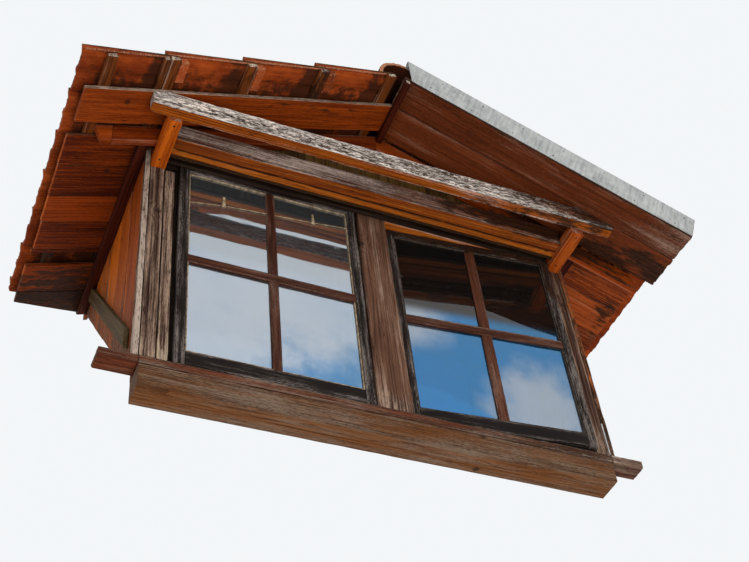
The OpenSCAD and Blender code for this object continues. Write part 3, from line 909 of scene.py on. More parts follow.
@dataclass(frozen=True)
class WoodFinish(Finish):
    """Softwood that goes from fresh to silver, with rings, fibres, knots, cracks and rot; the rot colours
    also paint shade where spots ask for it.
    """

    fresh_dark: str
    fresh_light: str
    grey_dark: str
    grey_light: str
    rot: str = "1c110b"
    mould: str = "4a2814"
    bare: str = "c9b5a4"
    crack: str = "0c0705"
    ring_mm: float = 7.0
    knots: float = 0.45
    cracks: float = 0.5
    patchy: float = 0.5
    relief: float = 1.0
    contrast: float = 1.0
    rings: float = 0.26
    mottle: float = 0.4

    def paint(self, g: Graph) -> Material:
        """Layers from the fresh wood outwards: fresh, grey, bare, pits, knots, cracks and rot, the last also
        painting shade.

        The fresh wood's tone is rings * wave + streaks + fibres + the board's own tint, the grey
        wood's is fibres + rings + streaks, and the share of grey is weathering + uneven patches.
        The height is fibres * (0.3 + share of grey) + rings + flakes - cracks - pits.
        """
        grain = g.attribute("grain")
        weather, rot, tint = g.parts(g.attribute("state"))
        along, p, q = g.parts(grain)
        plane = g.joined(along, p + q)
        cell = g.node("ShaderNodeTexVoronoi", {"Vector": plane, "Scale": 4.3}, voronoi_dimensions="2D")
        chosen = g.math("LESS_THAN", g.parts(Field(g, cell.outputs["Color"]))[0], self.knots)
        away = Field(g, cell.outputs["Distance"])
        near = (1.0 - g.ease(away, 0.03, 0.3)) * chosen
        knot = (1.0 - g.ease(away, 0.035, 0.07)) * chosen
        sway = g.cloud(grain, (2.2, 9.0, 9.0), 2.0)
        wave = g.value(
            "Fac", "ShaderNodeTexWave",
            {"Vector": g.vector("MULTIPLY_ADD", grain, (0.12, 1, 1), (0, 0.02, 0.11)), "Distortion": 0.6,
             "Scale": 314.0 / self.ring_mm, "Phase Offset": near * 9.0 + sway * 26.0, "Detail": 2.0,
             "Detail Scale": 0.4},
            wave_type="RINGS", rings_direction="X", wave_profile="SAW",
        )
        fibre = g.cloud(grain, (6.0, 300.0, 300.0), rough=0.65)
        thread = g.cloud(grain, (3.4, 120.0, 120.0), rough=0.62)
        streak = g.cloud(grain, (1.3, 46.0, 46.0), rough=0.6)
        broad = g.cloud(grain, (3.0, 11.0, 11.0), rough=0.6)
        middling = g.cloud(grain, (13.0, 42.0, 42.0), 4.0, 0.6, shift=(1, 4, 2))
        flake = g.cloud(grain, (62.0, 400.0, 400.0), 2.0, shift=(3, 1, 2)) - 0.5
        line = g.math("ABSOLUTE", g.cloud(plane, (2.6, 52.0, 1), 2.0) - 0.5)
        split = g.ease(g.cloud(plane, (3.3, 16.0, 1), 2.0, shift=(5, 3, 1)), 0.62 - 0.16 * self.cracks, 0.72)
        crack = (1.0 - g.ease(line, 0.004, 0.022)) * split
        pits = g.cloud(grain, (40.0, 330.0, 330.0))
        pits = g.ease(pits, 0.58 - 0.06 * self.mottle, 0.68 - 0.05 * self.mottle)

        even = 0.2 + 0.3 * self.contrast
        tone = wave * self.rings + streak * even + flake * 0.45 + (thread - 0.5) * self.contrast
        tone = tone + (tint - 0.5) * (0.42 * self.contrast - 0.07)
        middle = 0.005 + even / 2 + self.rings / 2
        fresh = g.mix(g.ease(tone, middle - 0.27, middle + 0.29), self.fresh_dark, self.fresh_light)
        tired = thread * 0.8 + wave * 0.16 + (fibre - 0.5) * 0.5 + (streak - 0.5) * (0.8 - 0.35 * self.mottle)
        tired = tired + (broad - 0.5) * 0.5 + flake * (1.5 * self.mottle)
        grey = g.mix(g.ease(tired, 0.3, 0.68), self.grey_dark, self.grey_light)
        share = g.ease(weather + (broad + streak - 1.0) * (2.2 * self.patchy), 0.15, 0.85)
        colour = g.mix(share, fresh, grey)
        colour = g.mix(g.ease(weather + (middling - 0.5) * 1.1, 0.98, 1.3) * 0.75, colour, self.bare)
        shade = broad * 0.56 + 0.72
        colour = g.mix(1.0, colour, g.joined(shade, shade, shade), "MULTIPLY")
        colour = g.mix(pits * (share * (0.55 + 0.25 * self.mottle)), colour, self.rot)
        colour = g.mix(knot * 0.72, colour, self.rot)
        colour = g.mix(crack * 0.9, colour, self.crack)
        spoil = g.ease(rot + (broad * 0.8 + middling * 1.5) - 1.15, 0.38, 0.72)
        crumbs = g.ease(thread + flake * 1.4, 0.46, 0.72)
        colour = g.mix(spoil * 0.9, colour, g.mix(crumbs * 0.8, self.rot, self.mould))

        height = (fibre + thread) * (share + 0.3) + (wave * 0.3 + flake) - crack * 1.6 - pits * share * 0.9
        g.bump(height, 0.55 * self.relief, 0.0016)
        dull = g.math("ADD", share * 0.2 + 0.58, streak * 0.16, clamp=True)
        return g.finish(colour, dull, Specular_IOR_Level=0.14)


@dataclass(frozen=True)
class ClayFinish(Finish):
    """Fired clay, with grime, painted shade and moss where its state says so."""

    name: str = "fired_clay"
    dark: str = "6c270a"
    light: str = "b04e1c"
    pale: str = "b98061"
    worn_dark: str = "6a321c"
    worn_light: str = "a65f40"
    soot_and_shade: str = "27180f"
    moss: str = "4a4a25"

    def paint(self, g: Graph) -> Material:
        """Clay tone from broad clouds, the tile's tint and drag marks; then wear, grime with painted shade,
        and moss on it.
        """
        grain = g.attribute("grain")
        worn, stain, tint = g.parts(g.attribute("state"))
        broad, fine = g.cloud(grain, 9.0, 4.0, 0.6), g.cloud(grain, 140.0, 4.0, 0.7)
        drag = g.cloud(grain, (9.0, 130.0, 60.0), 2.0)
        tone = broad * 0.7 + (tint - 0.5) * 0.34 + (drag - 0.5) * 0.38
        colour = g.mix(g.ease(tone, 0.12, 0.66), self.dark, self.light)
        bleached = g.mix(g.ease(tone, 0.16, 0.62), self.worn_dark, self.worn_light)
        colour = g.mix(g.ease(worn, 0.2, 0.6), colour, bleached)
        colour = g.mix(g.ease(fine + worn * 0.3, 0.6, 0.85), colour, self.pale)
        soot_and_shade = stain + (g.cloud(grain, 30.0, 5.0, 0.7) - 0.5) * 1.5
        colour = g.mix(g.ease(soot_and_shade, 0.35, 0.8) * 0.85, colour, self.soot_and_shade)
        on_top = g.math("LESS_THAN", g.parts(grain)[2], 0.03)
        moss = g.ease(stain + g.cloud(grain, 55.0), 1.0, 1.25) * on_top
        g.bump(fine + drag * 0.6, 0.5, 0.0012)
        dull = g.math("ADD", 0.74, fine * 0.2, clamp=True)
        return g.finish(g.mix(moss * 0.7, colour, self.moss), dull, Specular_IOR_Level=0.14)


@dataclass(frozen=True)
class SheetFinish(Finish):
    """Weathered sheet metal with runs of oxide across it."""

    name: str = "old_zinc"
    dark: str = "8f9190"
    light: str = "cdcecb"
    spots: str = "77756e"
    dirt: str = "54493d"

    def paint(self, g: Graph) -> Material:
        """Metal tone from clouds, runs across and hairs; dark specks and dirt on it."""
        grain = g.attribute("grain")
        stain = g.parts(g.attribute("state"))[1]
        broad, fine = g.cloud(grain, 7.0, 5.0, 0.62), g.cloud(grain, 260.0, 3.0, 0.6)
        runs, hairs = g.cloud(grain, (70.0, 9.0, 9.0), 3.0, 0.6), g.cloud(grain, (240.0, 7.0, 7.0), 2.0, 0.6)
        tone = broad * 0.45 + runs * 0.4 + (g.cloud(grain, 34.0, 4.0, 0.62) + hairs) * 0.2
        colour = g.mix(g.ease(tone, 0.42, 0.78), self.dark, self.light)
        colour = g.mix(g.ease(fine, 0.62, 0.72) * 0.5, colour, self.spots)
        dirt = g.ease(stain + (broad - 0.5) * 1.4, 0.3, 0.8)
        g.bump(broad * 2.0 + fine * 0.2, 0.25, 0.004)
        dull = g.math("ADD", 0.36, broad * 0.3, clamp=True)
        return g.finish(g.mix(dirt * 0.7, colour, self.dirt), dull, Metallic=0.55, Specular_IOR_Level=0.4)


@dataclass(frozen=True)
class GlassFinish(Finish):
    """Old drawn glass: slightly wavy and dusty in places, its colour a painted reflection: blue sky with
    cloud patches below, another tone above.
    """

    # colour, upper and the cloud patches are painted reflections of sky and overhang
    colour: str
    upper: str
    change: Pair = (0.70, 0.76)
    mirror: float = 0.3
    clouds: tuple[Triple, ...] = ()
    lean: float = 0.0
    reflected_cloud_tone: str = "dbe2ea"
    speck: str = "8a8377"

    def paint(self, g: Graph) -> Material:
        """Painted reflection: the lower colour with torn cloud patches round the given X, Z and size, another
        painted tone above the change in height.
        """
        place = g.place()
        torn = (g.cloud(place, 5.5, 4.0, 0.62) - 0.5) * 1.1
        tone = self.colour
        for x, z, size in self.clouds:
            flat = g.vector("MULTIPLY_ADD", place, (1.0, 0.0, 1.0), (-x, 0.0, -z))
            away = g.vector("LENGTH", flat, output="Value") / size + torn
            tone = g.mix((1.0 - g.ease(away, 0.35, 1.15)) * 0.85, tone, self.reflected_cloud_tone)
        tone = g.mix(g.ease(g.parts(place)[2], *self.change), tone, self.upper)
        specks = g.ease(g.cloud(place, 210.0, 2.0), 0.72, 0.76)
        dust = g.ease(g.cloud(place, 16.0, 5.0, 0.65), 0.5, 0.8)
        sunk = g.vector("ADD", g.value("Normal", "ShaderNodeNewGeometry"), (0.0, 0.0, self.lean))
        g.bump(g.cloud(place, (2.0, 2.0, 5.0), 1.0), 0.12, 0.01, Normal=g.vector("NORMALIZE", sunk))
        return g.finish(g.mix(specks * 0.5, tone, self.speck), dust * 0.1 + 0.02, Metallic=self.mirror,
                        Transmission_Weight=0.9, IOR=1.52)


@dataclass(frozen=True)
class DullFinish(Finish):
    """Plain small fittings: iron, putty or paint with a broken surface."""

    dark: str
    light: str
    metallic: float = 0.0
    rough: float = 0.7

    def paint(self, g: Graph) -> Material:
        """Two tones in small spots, rougher where they are light."""
        place = g.place()
        spots = g.cloud(place, 60.0, 4.0, 0.65)
        g.bump(g.cloud(place, 220.0), 0.4, 0.001)
        dull = g.math("ADD", self.rough - 0.1, spots * 0.25, clamp=True)
        return g.finish(g.mix(g.ease(spots, 0.38, 0.64), self.dark, self.light), dull, Metallic=self.metallic)


IRON = DullFinish("rusty_iron", "1c1412", "45281b", metallic=0.4, rough=0.75)
PUTTY = DullFinish("old_putty", "6d5a45", "b29c80")
# Putty of the right window, darker as painted shade under its head.
SHADED_PUTTY = DullFinish("shaded_putty", "1d1612", "4a3c31")
WIRE = DullFinish("pale_wire", "7d6a50", "cdb994", rough=0.5)
CLAY = ClayFinish()
ZINC = SheetFinish()


class Wood(Enum):
    """The timbers' finishes."""

    BEAM = WoodFinish("silver_beam", "5e2404", "a8540e", "4e3c32", "f2e4d8", knots=0.4, cracks=0.9,
                      patchy=0.45, relief=1.8, mottle=1.2, bare="fff4ea")
    TIE = WoodFinish("grey_tie", "6a2c08", "ac5c18", "3e2d24", "b09a8e", knots=0.35, cracks=0.9, patchy=0.4,
                     relief=1.2, mottle=0.35, rot="1d120c", mould="3a2214", bare="cdbcb0")
    SOFFIT = WoodFinish("soffit_boards", "561a03", "9c430d", "5d4434", "a68d7a", knots=0.4, cracks=0.4,
                        patchy=0.3, rings=0.1, contrast=0.75)
    # Darker than the soffit finish: the wood's red-brown with painted shade deep under the left eave.
    DEEP = WoodFinish("deep_soffit", "360c02", "903a08", "3a2415", "6c4c38", knots=0.3, cracks=0.6,
                      patchy=0.3, rings=0.08, contrast=0.85, mottle=0.5)
    # Darker than the soffit boards: painted shade of the right front boards near the gable.
    VERGE = WoodFinish("verge_boards", "3a1607", "743618", "4a3226", "947462", knots=0.3, cracks=0.7,
                       patchy=0.5, rings=0.06, contrast=0.5, mottle=0.7)
    EAVE = WoodFinish("orange_eave", "7c2c03", "c05c0e", "5d4636", "a68e7c", knots=0.25, cracks=0.3,
                      patchy=0.25, contrast=0.7, rings=0.12)
    POST = WoodFinish("streaked_post", "342119", "684635", "3f2c24", "a58975", knots=0.5, cracks=1.0,
                      patchy=0.6, relief=1.4, mottle=0.25, bare="bea78f")
    CHEEK = WoodFinish("sunburnt_cheek", "742c05", "dc7019", "3e2519", "7c5a46", knots=0.3, cracks=0.9,
                       patchy=0.5, mottle=0.7, rings=0.3)
    # Nearly black: the frame's own dark wood with painted shade of the window recesses and the head under the
    # eave.
    DARK = WoodFinish("dark_frame", "170d08", "302017", "1a130f", "3c3029", knots=0.2, cracks=0.4, patchy=0.3)
    SHADED = WoodFinish("shaded_timber", "44240c", "7d4a22", "3a2b21", "7a6656", knots=0.35, cracks=0.6,
                        patchy=0.4)
    OLIVE = WoodFinish("olive_boards", "34220d", "64481c", "332a1a", "62543c", knots=0.3, cracks=0.4,
                       patchy=0.3)
    RED = WoodFinish("oxblood_trim", "2e0c05", "56200e", "3a2016", "684438", knots=0.2, cracks=0.3,
                     patchy=0.3)
    SASH = WoodFinish("blackened_sash", "120d0b", "281d18", "1e1815", "7b706a", knots=0.1, cracks=0.8,
                      patchy=0.8, relief=0.8, mottle=0.8)
    BAR = WoodFinish("glazing_bars", "30150c", "59301f", "3a261d", "866a5c", knots=0.1, cracks=0.4,
                     patchy=0.4, relief=0.7, mottle=0.7)
    SILL = WoodFinish("russet_sill", "431a0c", "743a20", "38271e", "7a6354", knots=0.2, cracks=0.6,
                      patchy=0.5)
    INNER = WoodFinish("sage_inner", "4c4532", "7d7358", "403c2f", "857f6b", knots=0.1, cracks=0.3,
                       patchy=0.4, relief=0.6)
    BATTEN = WoodFinish("sawn_batten", "3a1907", "743a12", "5a4636", "d8c6b2", knots=0.3, cracks=0.7,
                        patchy=0.4, bare="e2d2bf")
    SPLIT = WoodFinish("split_soffit", "561f08", "ac5222", "4f3120", "9c7862", knots=0.15, cracks=1.1,
                       patchy=0.7, rings=0.14, mottle=0.9)

    def material(self) -> Material:
        """The finish as a material."""
        return self.value.material()


SIDES = {-1: "left", 1: "right"}


def before_slope(points: Points) -> Points:
    """Bring every point that would lie in the steep roof forward to its surface."""
    x, y, z = points.T
    return rows_of(x, np.minimum(y, LINES.face_y + z / LINES.slope), z)


def under_roof_boards(points: Points) -> Points:
    """Lower every point that would stand in the roof boards to their underside."""
    x, y, z = points.T
    return rows_of(x, y, np.minimum(z, LINES.roof_z(x) - 0.4))


def verge_twist(points: Points) -> Points:
    """Warp of the right verge: its front edge rises 4 mm at the ridge and falls 17 mm at the eave.

    The change is (4 - 21 * share down the slope) * share of the way forward from the rafter.

    Args:
        points: places in mm.

    Returns:
        The moved places.
    """
    x, y, z = points.T
    down = np.clip((x - LINES.ridge_x) / 1300.0, 0, 1)
    ahead = np.clip((-165.0 - y) / 310.0, 0, 1)
    return rows_of(x, y, z + (4.0 - 21.0 * down) * ahead)


def close_to_post(points: Points) -> Points:
    """Casing drawn out to the tapered post: its near side moves by 1.5 + 11 * height share mm.

    Args:
        points: places in mm.

    Returns:
        The moved places.
    """
    x, y, z = points.T
    off = x - LINES.mid_x
    near = np.clip(1 - (np.abs(off) - LINES.mid_half) / 20, 0, 1)
    return rows_of(x - np.sign(off) * near * (1.5 + 11 * (z - LINES.sill_top) / 1070), y, z)


@dataclass
class WallFrame:
    """Sill, posts, plates and the beams over the windows."""

    beam_half: float = 912.0
    beam_top: float = 90.0
    foot_back: float = 55.0
    board_front: float = -59.0
    horn: Pair = (913.2, 1050.0)
    horn_back: float = 42.0
    left_joint: Triple = (-856.5, -853.0, -813.0)
    mid_top_w: float = 123.0
    outrigger: float = -284.0
    ridge_beam: Pair = (18.0, 78.0)
    head_top: float = 1249.0
    king_top: float = 1515.0

    def sill(self) -> None:
        """Beam at the foot and the board on it, which runs past the cheeks as a thin front strip."""
        piece = Piece("sill_beam_worn", "frame_timber", "sill_beam")
        beam((-self.beam_half, self.beam_half, LINES.face_y, self.foot_back, 0, self.beam_top), "x",
             wear=Wear(0.55, 0.4, 0.6, 0.3), seed=3, fine=9).make(piece)
        piece.build(Wood.SHADED)
        piece = Piece("sill_board_worn", "sill_timber", "sill_board")
        z = (self.beam_top, LINES.sill_top)
        looks = {"wear": Wear(0.42, 0.2, 0.75, 0.3, arris=0.35), "fine": 5,
                 "spots": (Spot((900, -55, 110), (700, 200, 200), wear=0.35),)}
        beam((-LINES.post_half, LINES.post_half, self.board_front, self.foot_back, *z), "x", seed=4, step=16,
             relief=Relief(0.4, 1.5, 3, 4, 3), **looks,
             splits=(Split(12, 200, 900, 2, 4), Split(140, 900, 1500, 2, 4))).make(piece)
        near, far = self.horn
        for x, seed in (((-far, -near), 5), ((near, far), 6)):
            beam((*x, self.board_front, self.horn_back, *z), "x", relief=Relief(0.4, 1.2, 2.5, 3, 3),
                 seed=seed, step=12, reshape=before_slope, ragged=(4, 4), **looks).make(piece)
        piece.build(Wood.SILL)

    def posts(self) -> None:
        """Corner posts and the tapered middle post; the left one is two boards with an open joint."""
        worn = Wear(0.48, 0.4, 0.6, 0.3, 0.3, 0.7, 0.34)
        y0, y1, z0, z1 = LINES.face_y, LINES.post_back, LINES.sill_top, LINES.post_top
        size = {"fine": 4, "step": 13}
        corner = {"relief": Relief(0.9, 1.6, 4.0, 6.0, 3.0), **size,
                  "spots": (Spot((0, -55, 140), (2000, 90, 110), wear=0.5),)}
        piece = Piece("left_post_worn", "post_timber", "left_corner_post")
        outer, inner, end = self.left_joint
        beam((-LINES.post_half, outer, y0, y1, z0, z1), "z", wear=worn, seed=11, bow=(0, -1),
             splits=(Split(18, 80, 560, 1.6, 6), Split(40, 420, 950, 1.4, 5)), **corner).make(piece)
        beam((inner, end, y0 + 2, y1, z0, z1), "z", wear=Wear(0.66, 0.4, 0.6, 0.3, 0.5, 0.7, 0.5),
             seed=12, splits=(Split(14, 50, 700, 1.6, 5),), **corner).make(piece)
        piece.build(Wood.POST)
        piece = Piece("mid_post_worn", "post_timber", "mid_post")
        x0, x1 = LINES.mid_x - LINES.mid_half, LINES.mid_x + LINES.mid_half
        beam((x0, x1, y0, y1, z0, LINES.plate_top), "z", wear=Wear(0.27, 0.4, 0.6, 0.3, 0.25, 0.7, 0.2),
             relief=Relief(0.8, 1.8, 3.5, 5, 3), seed=13, end_width=self.mid_top_w, **size,
             splits=(Split(60, 0, 320, 1.3, 4), Split(95, 560, 1000, 1.3, 5), Split(30, 300, 700, 1.2, 3)),
             spots=(Spot((24, -55, 130), (90, 90, 70), wear=0.8),)).make(piece)
        piece.build(Wood.POST)
        piece = Piece("right_post_worn", "post_timber", "right_corner_post")
        beam((*LINES.post_x(1), y0, y1, z0, z1), "z", wear=Wear(0.3, 0.4, 0.6, 0.3, 0.22, 0.7, 0.2),
             seed=14, splits=(Split(20, 100, 700, 1.5, 6), Split(42, 500, 980, 1.4, 5)), **corner).make(piece)
        beam((906.5, LINES.post_half, -58.4, -55.6, 125.4, 278), "z", wear=worn, seed=15, fine=3, step=14,
             relief=Relief(0.1, 0.3, 0.6, 0.6, 0.5), bow=(0.4, 0.5)).make(piece, 1)
        piece.build(Wood.POST, ZINC)

    def plates(self) -> None:
        """Wall plates that run forward as outriggers, and the bevelled purlins on them."""
        low, top = LINES.post_top, LINES.plate_top
        for side, tone in ((-1, 0.0), (1, 0.14)):
            x0, x1 = LINES.post_x(side)
            name = SIDES[side] + "_wall_plate"
            piece = Piece(name + "_worn", "eave_timber", name)
            beam((x0, x1, self.outrigger, 950, low, top), "y", relief=Relief(0.3, 0.7, 1.5, 2, 2.5),
                 wear=Wear(0.5, 0.03 + tone, 0.5, 0.2, 0.12 + tone, 0.5, 0.12), seed=21 + side, fine=5,
                 end_cuts=(LINES.valley(),)).make(piece)
            nails(piece, [(x0 + 31, -262, low + 0.2), (x0 + 24, -92, low + 0.2)], (0, 0, -1), 4.5)
            piece.build(Wood.EAVE, IRON)
        piece = Piece("eave_purlins_worn", "frame_timber", "eave_purlins")
        for side in SIDES:
            roof = float(LINES.roof_z(side * (LINES.post_half - LINES.post_w)))
            beam((*LINES.post_x(side), LINES.face_y, 1050, top, roof), "y", seed=23 + side, fine=9,
                 wear=Wear(0.5, 0.03, 0.5, 0.2, 0.12, 0.5, 0.12), end_cuts=(LINES.valley(),),
                 reshape=under_roof_boards).make(piece)
        piece.build(Wood.EAVE)

    def heads(self) -> None:
        """Head beam, the board over the window heads, king post and ridge purlin."""
        wide, (y0, y1) = (-LINES.clear_half, LINES.clear_half), (LINES.face_y, LINES.post_back)
        for name, box, along, slot, wood in (
            ("head_beam", (*wide, y0, y1, LINES.plate_top, self.head_top), "x", "frame_timber", Wood.DARK),
            ("head_board", (*wide, -70, y0, 1175, 1233), "x", "gable_boards", Wood.DARK),
            ("king_post", (*self.ridge_beam, y0, y1, self.head_top, self.king_top), "z", "frame_timber",
             Wood.SHADED),
            ("ridge_purlin", (*self.ridge_beam, y0, 1300, self.king_top, LINES.ridge_z), "y", "frame_timber",
             Wood.SHADED),
        ):
            piece = Piece(name + "_worn", slot, name)
            beam(box, along, wear=Wear(0.3, 0.2, 0.3, 0.2, 0.2), seed=len(name), fine=7,
                 end_cuts=(LINES.valley(),) if along == "y" else (), reshape=under_roof_boards).make(piece)
            piece.build(wood)


@dataclass
class EaveFront:
    """The projecting front: weathered beam, tie boards, gable boarding and rafters."""

    ends: Pair = (-985.0, 1040.0)
    beam_y: Pair = (-334.0, -284.0)
    beam_top: float = 1249.0
    beam_rise: float = 14.0
    tie_y: Pair = (-197.0, -147.0)
    tie_top: float = 1251.0
    gable_y: Pair = (-117.0, -102.0)
    gable_top: float = 1640.0
    gable_seams: tuple[float, ...] = (
        -744, -628, -520, -396, -282, -170, -52, 48, 160, 276, 390, 512, 622, 744)
    rafter_foot: Pair = (1137.0, 1175.0)
    tail: float = 82.0

    def front_beam(self) -> None:
        """Silver beam across the outriggers, climbing a little to the right, with a rotten right end."""
        left, right = self.ends

        def settle(points: Points) -> Points:
            """Height grows by the rise over the length; the right end is cut at about 45 degrees."""
            x, y, z = points.T
            f = np.clip((x - left) / (right - left), 0, 1)
            z = LINES.tie_low + self.beam_rise * f * 0.55 + (z - LINES.tie_low) * (1 - 0.02 * f)
            x = np.minimum(x, right - np.clip(z - 1196, 0, None) * 0.8)
            return under_roof_boards(rows_of(x, y, z))

        piece = Piece("front_beam_worn", "grey_timber", "front_beam")
        beam((left, right, *self.beam_y, LINES.tie_low, self.beam_top), "x", reshape=settle, ragged=(3, 12),
             wear=Wear(0.95, 0.02, 0.9, 0.4, 0.8, 0.9, 0.45), relief=Relief(1.5, 2.2, 4.5, 7.0, 3.5),
             seed=31, fine=3.2, step=11,
             splits=(Split(232, 60, 900, 2.2, 8), Split(262, 500, 1500, 2.0, 7),
                     Split(208, 1100, 1950, 2.4, 9), Split(272, 1450, 1900, 2.0, 6),
                     Split(245, 0, 300, 2.0, 8)),
             spots=(Spot((985, -330, 1222), (110, 60, 44), wear=-0.3, rot=0.95),
                    Spot((760, -334, 1240), (450, 40, 52), wear=-0.2, rot=0.66),
                    Spot((680, -300, 1150), (480, 60, 16), rot=0.56),
                    Spot((980, -334, 1200), (260, 30, 60), wear=-0.25, rot=0.3),
                    Spot((-860, -334, 1185), (60, 30, 22), rot=0.5))).make(piece)
        piece.build(Wood.BEAM)

    def ties(self) -> None:
        """Two tie boards side by side under the gable boarding, with a ragged right end in front."""
        piece = Piece("tie_boards_worn", "tie_timber", "tie_boards")
        wide, low = (-LINES.clear_half, LINES.clear_half), LINES.tie_low
        # The rot spots along Y -146 darken the faces of the narrow joint between the two boards near their
        # underside: painted shade in the joint.
        beam((*wide, *self.tie_y, low, self.tie_top), "x", wear=Wear(0.8, 0.03, 0.6, 0.4, 0.5, 0.6, 0.05),
             relief=Relief(0.9, 2.0, 4.0, 5.0, 3.0), seed=33, fine=3.6, step=13, ragged=(2, 6),
             reshape=under_roof_boards,
             splits=(Split(210, 100, 1100, 1.8, 7), Split(235, 700, 1600, 1.8, 6),
                     Split(262, 200, 800, 1.6, 6), Split(26, 500, 1500, 1.4, 8)),
             spots=(Spot((760, -197, 1222), (560, 26, 70), wear=-0.6, rot=1.1),
                    Spot((200, -146, low), (2000, 5, 60), rot=0.9))).make(piece)
        beam((*wide, LINES.rafter_front, self.gable_y[0], low, LINES.plate_top), "x", seed=34, fine=5,
             wear=Wear(0.1, 0.03, 0.4, 0.4, arris=0.0), relief=Relief(0.4, 1.0, 2.0, 2.0, 2.0),
             spots=(Spot((200, -145, low), (2000, 4, 60), rot=0.9),)).make(piece)
        piece.build(Wood.TIE)

    def gable(self) -> None:
        """Upright boards of the gable's triangle, lapped by turns and cut under the roof boards; their lower
        ends, behind the tie boards, are darkened by a rot spot as painted shade.
        """
        piece = Piece("gable_boards_worn", "gable_boards", "gable_panel")
        edges = (-LINES.clear_half, *self.gable_seams, LINES.clear_half)
        front, back = self.gable_y
        for k, (x0, x1) in enumerate(zip(edges[:-1], edges[1:])):
            lap, turn = 2.2 * (0 < k < len(edges) - 2), k % 2
            box = (x0 - lap, x1 + lap, front + turn * 1.6, back - turn * 2, LINES.tie_low, self.gable_top)
            beam(box, "z", seed=40 + k, fine=12, step=40, relief=Relief(0.3, 0.6, 1.2, 1.0, 1.2),
                 wear=Wear(0.2, 0.1, 0.4, 0.3, 0.2, 0.0, 0.1),
                 spots=(Spot(((x0 + x1) / 2, -110, 1150), (4000, 4000, 26), rot=1.0),),
                 end_cuts=(LINES.under_roof(-1 if x1 <= LINES.ridge_x else 1, -21),)).make(piece)
        piece.build(Wood.OLIVE)

    def rafters(self) -> None:
        """Gable rafters with plumb ends and the block that lengthens the left one."""
        y = (LINES.rafter_front, LINES.rafter_back)
        for side, foot in zip(SIDES, self.rafter_foot):
            slope, cos = Slope(side), math.cos(LINES.pitch(side))
            name = SIDES[side] + "_gable_rafter"
            t = (-LINES.rafter_drop * cos, LINES.board_t - 0.3)
            end = Cut((float(side), 0.0, 0.0), side * (LINES.ridge_x + side * foot))
            piece = Piece(name + "_worn", "eave_timber", name)
            # On the right the rafter's front face is darkened by a rot spot: painted shade in the gap behind
            # the front boards.
            slope.board((-60, foot / cos + 60), y, t, seed=51 + side, fine=5, start_cuts=(slope.plumb(0.2),),
                        wear=Wear(0.08, 0.05, 0.4, 0.3, 0.08, 0.35), end_cuts=(end,),
                        spots=(Spot((870, -145, 1240), (500, 7, 300), rot=0.85),) if side > 0 else (),
                        relief=Relief(0.3, 0.8, 1.6, 2.0, 2.0)).make(piece)
            piece.build(Wood.SOFFIT)
        slope, cos, foot = Slope(-1), math.cos(LINES.pitch(-1)), self.rafter_foot[0] + 0.3
        piece = Piece("rafter_tail_worn", "eave_timber", "rafter_tail_block")
        slope.board((foot / cos - 14, foot / cos + self.tail / cos - 22), y, (-LINES.rafter_drop * cos, 19.7),
                    seed=55, fine=4, step=8, relief=Relief(0.3, 0.6, 1.6, 2, 2),
                    start_cuts=(Cut((1.0, 0.0, 0.0), -1089.4),),
                    wear=Wear(0.12, 0.0, 0.4, 0.3, 0.1, 0.2)).make(piece)
        piece.build(Wood.SOFFIT)


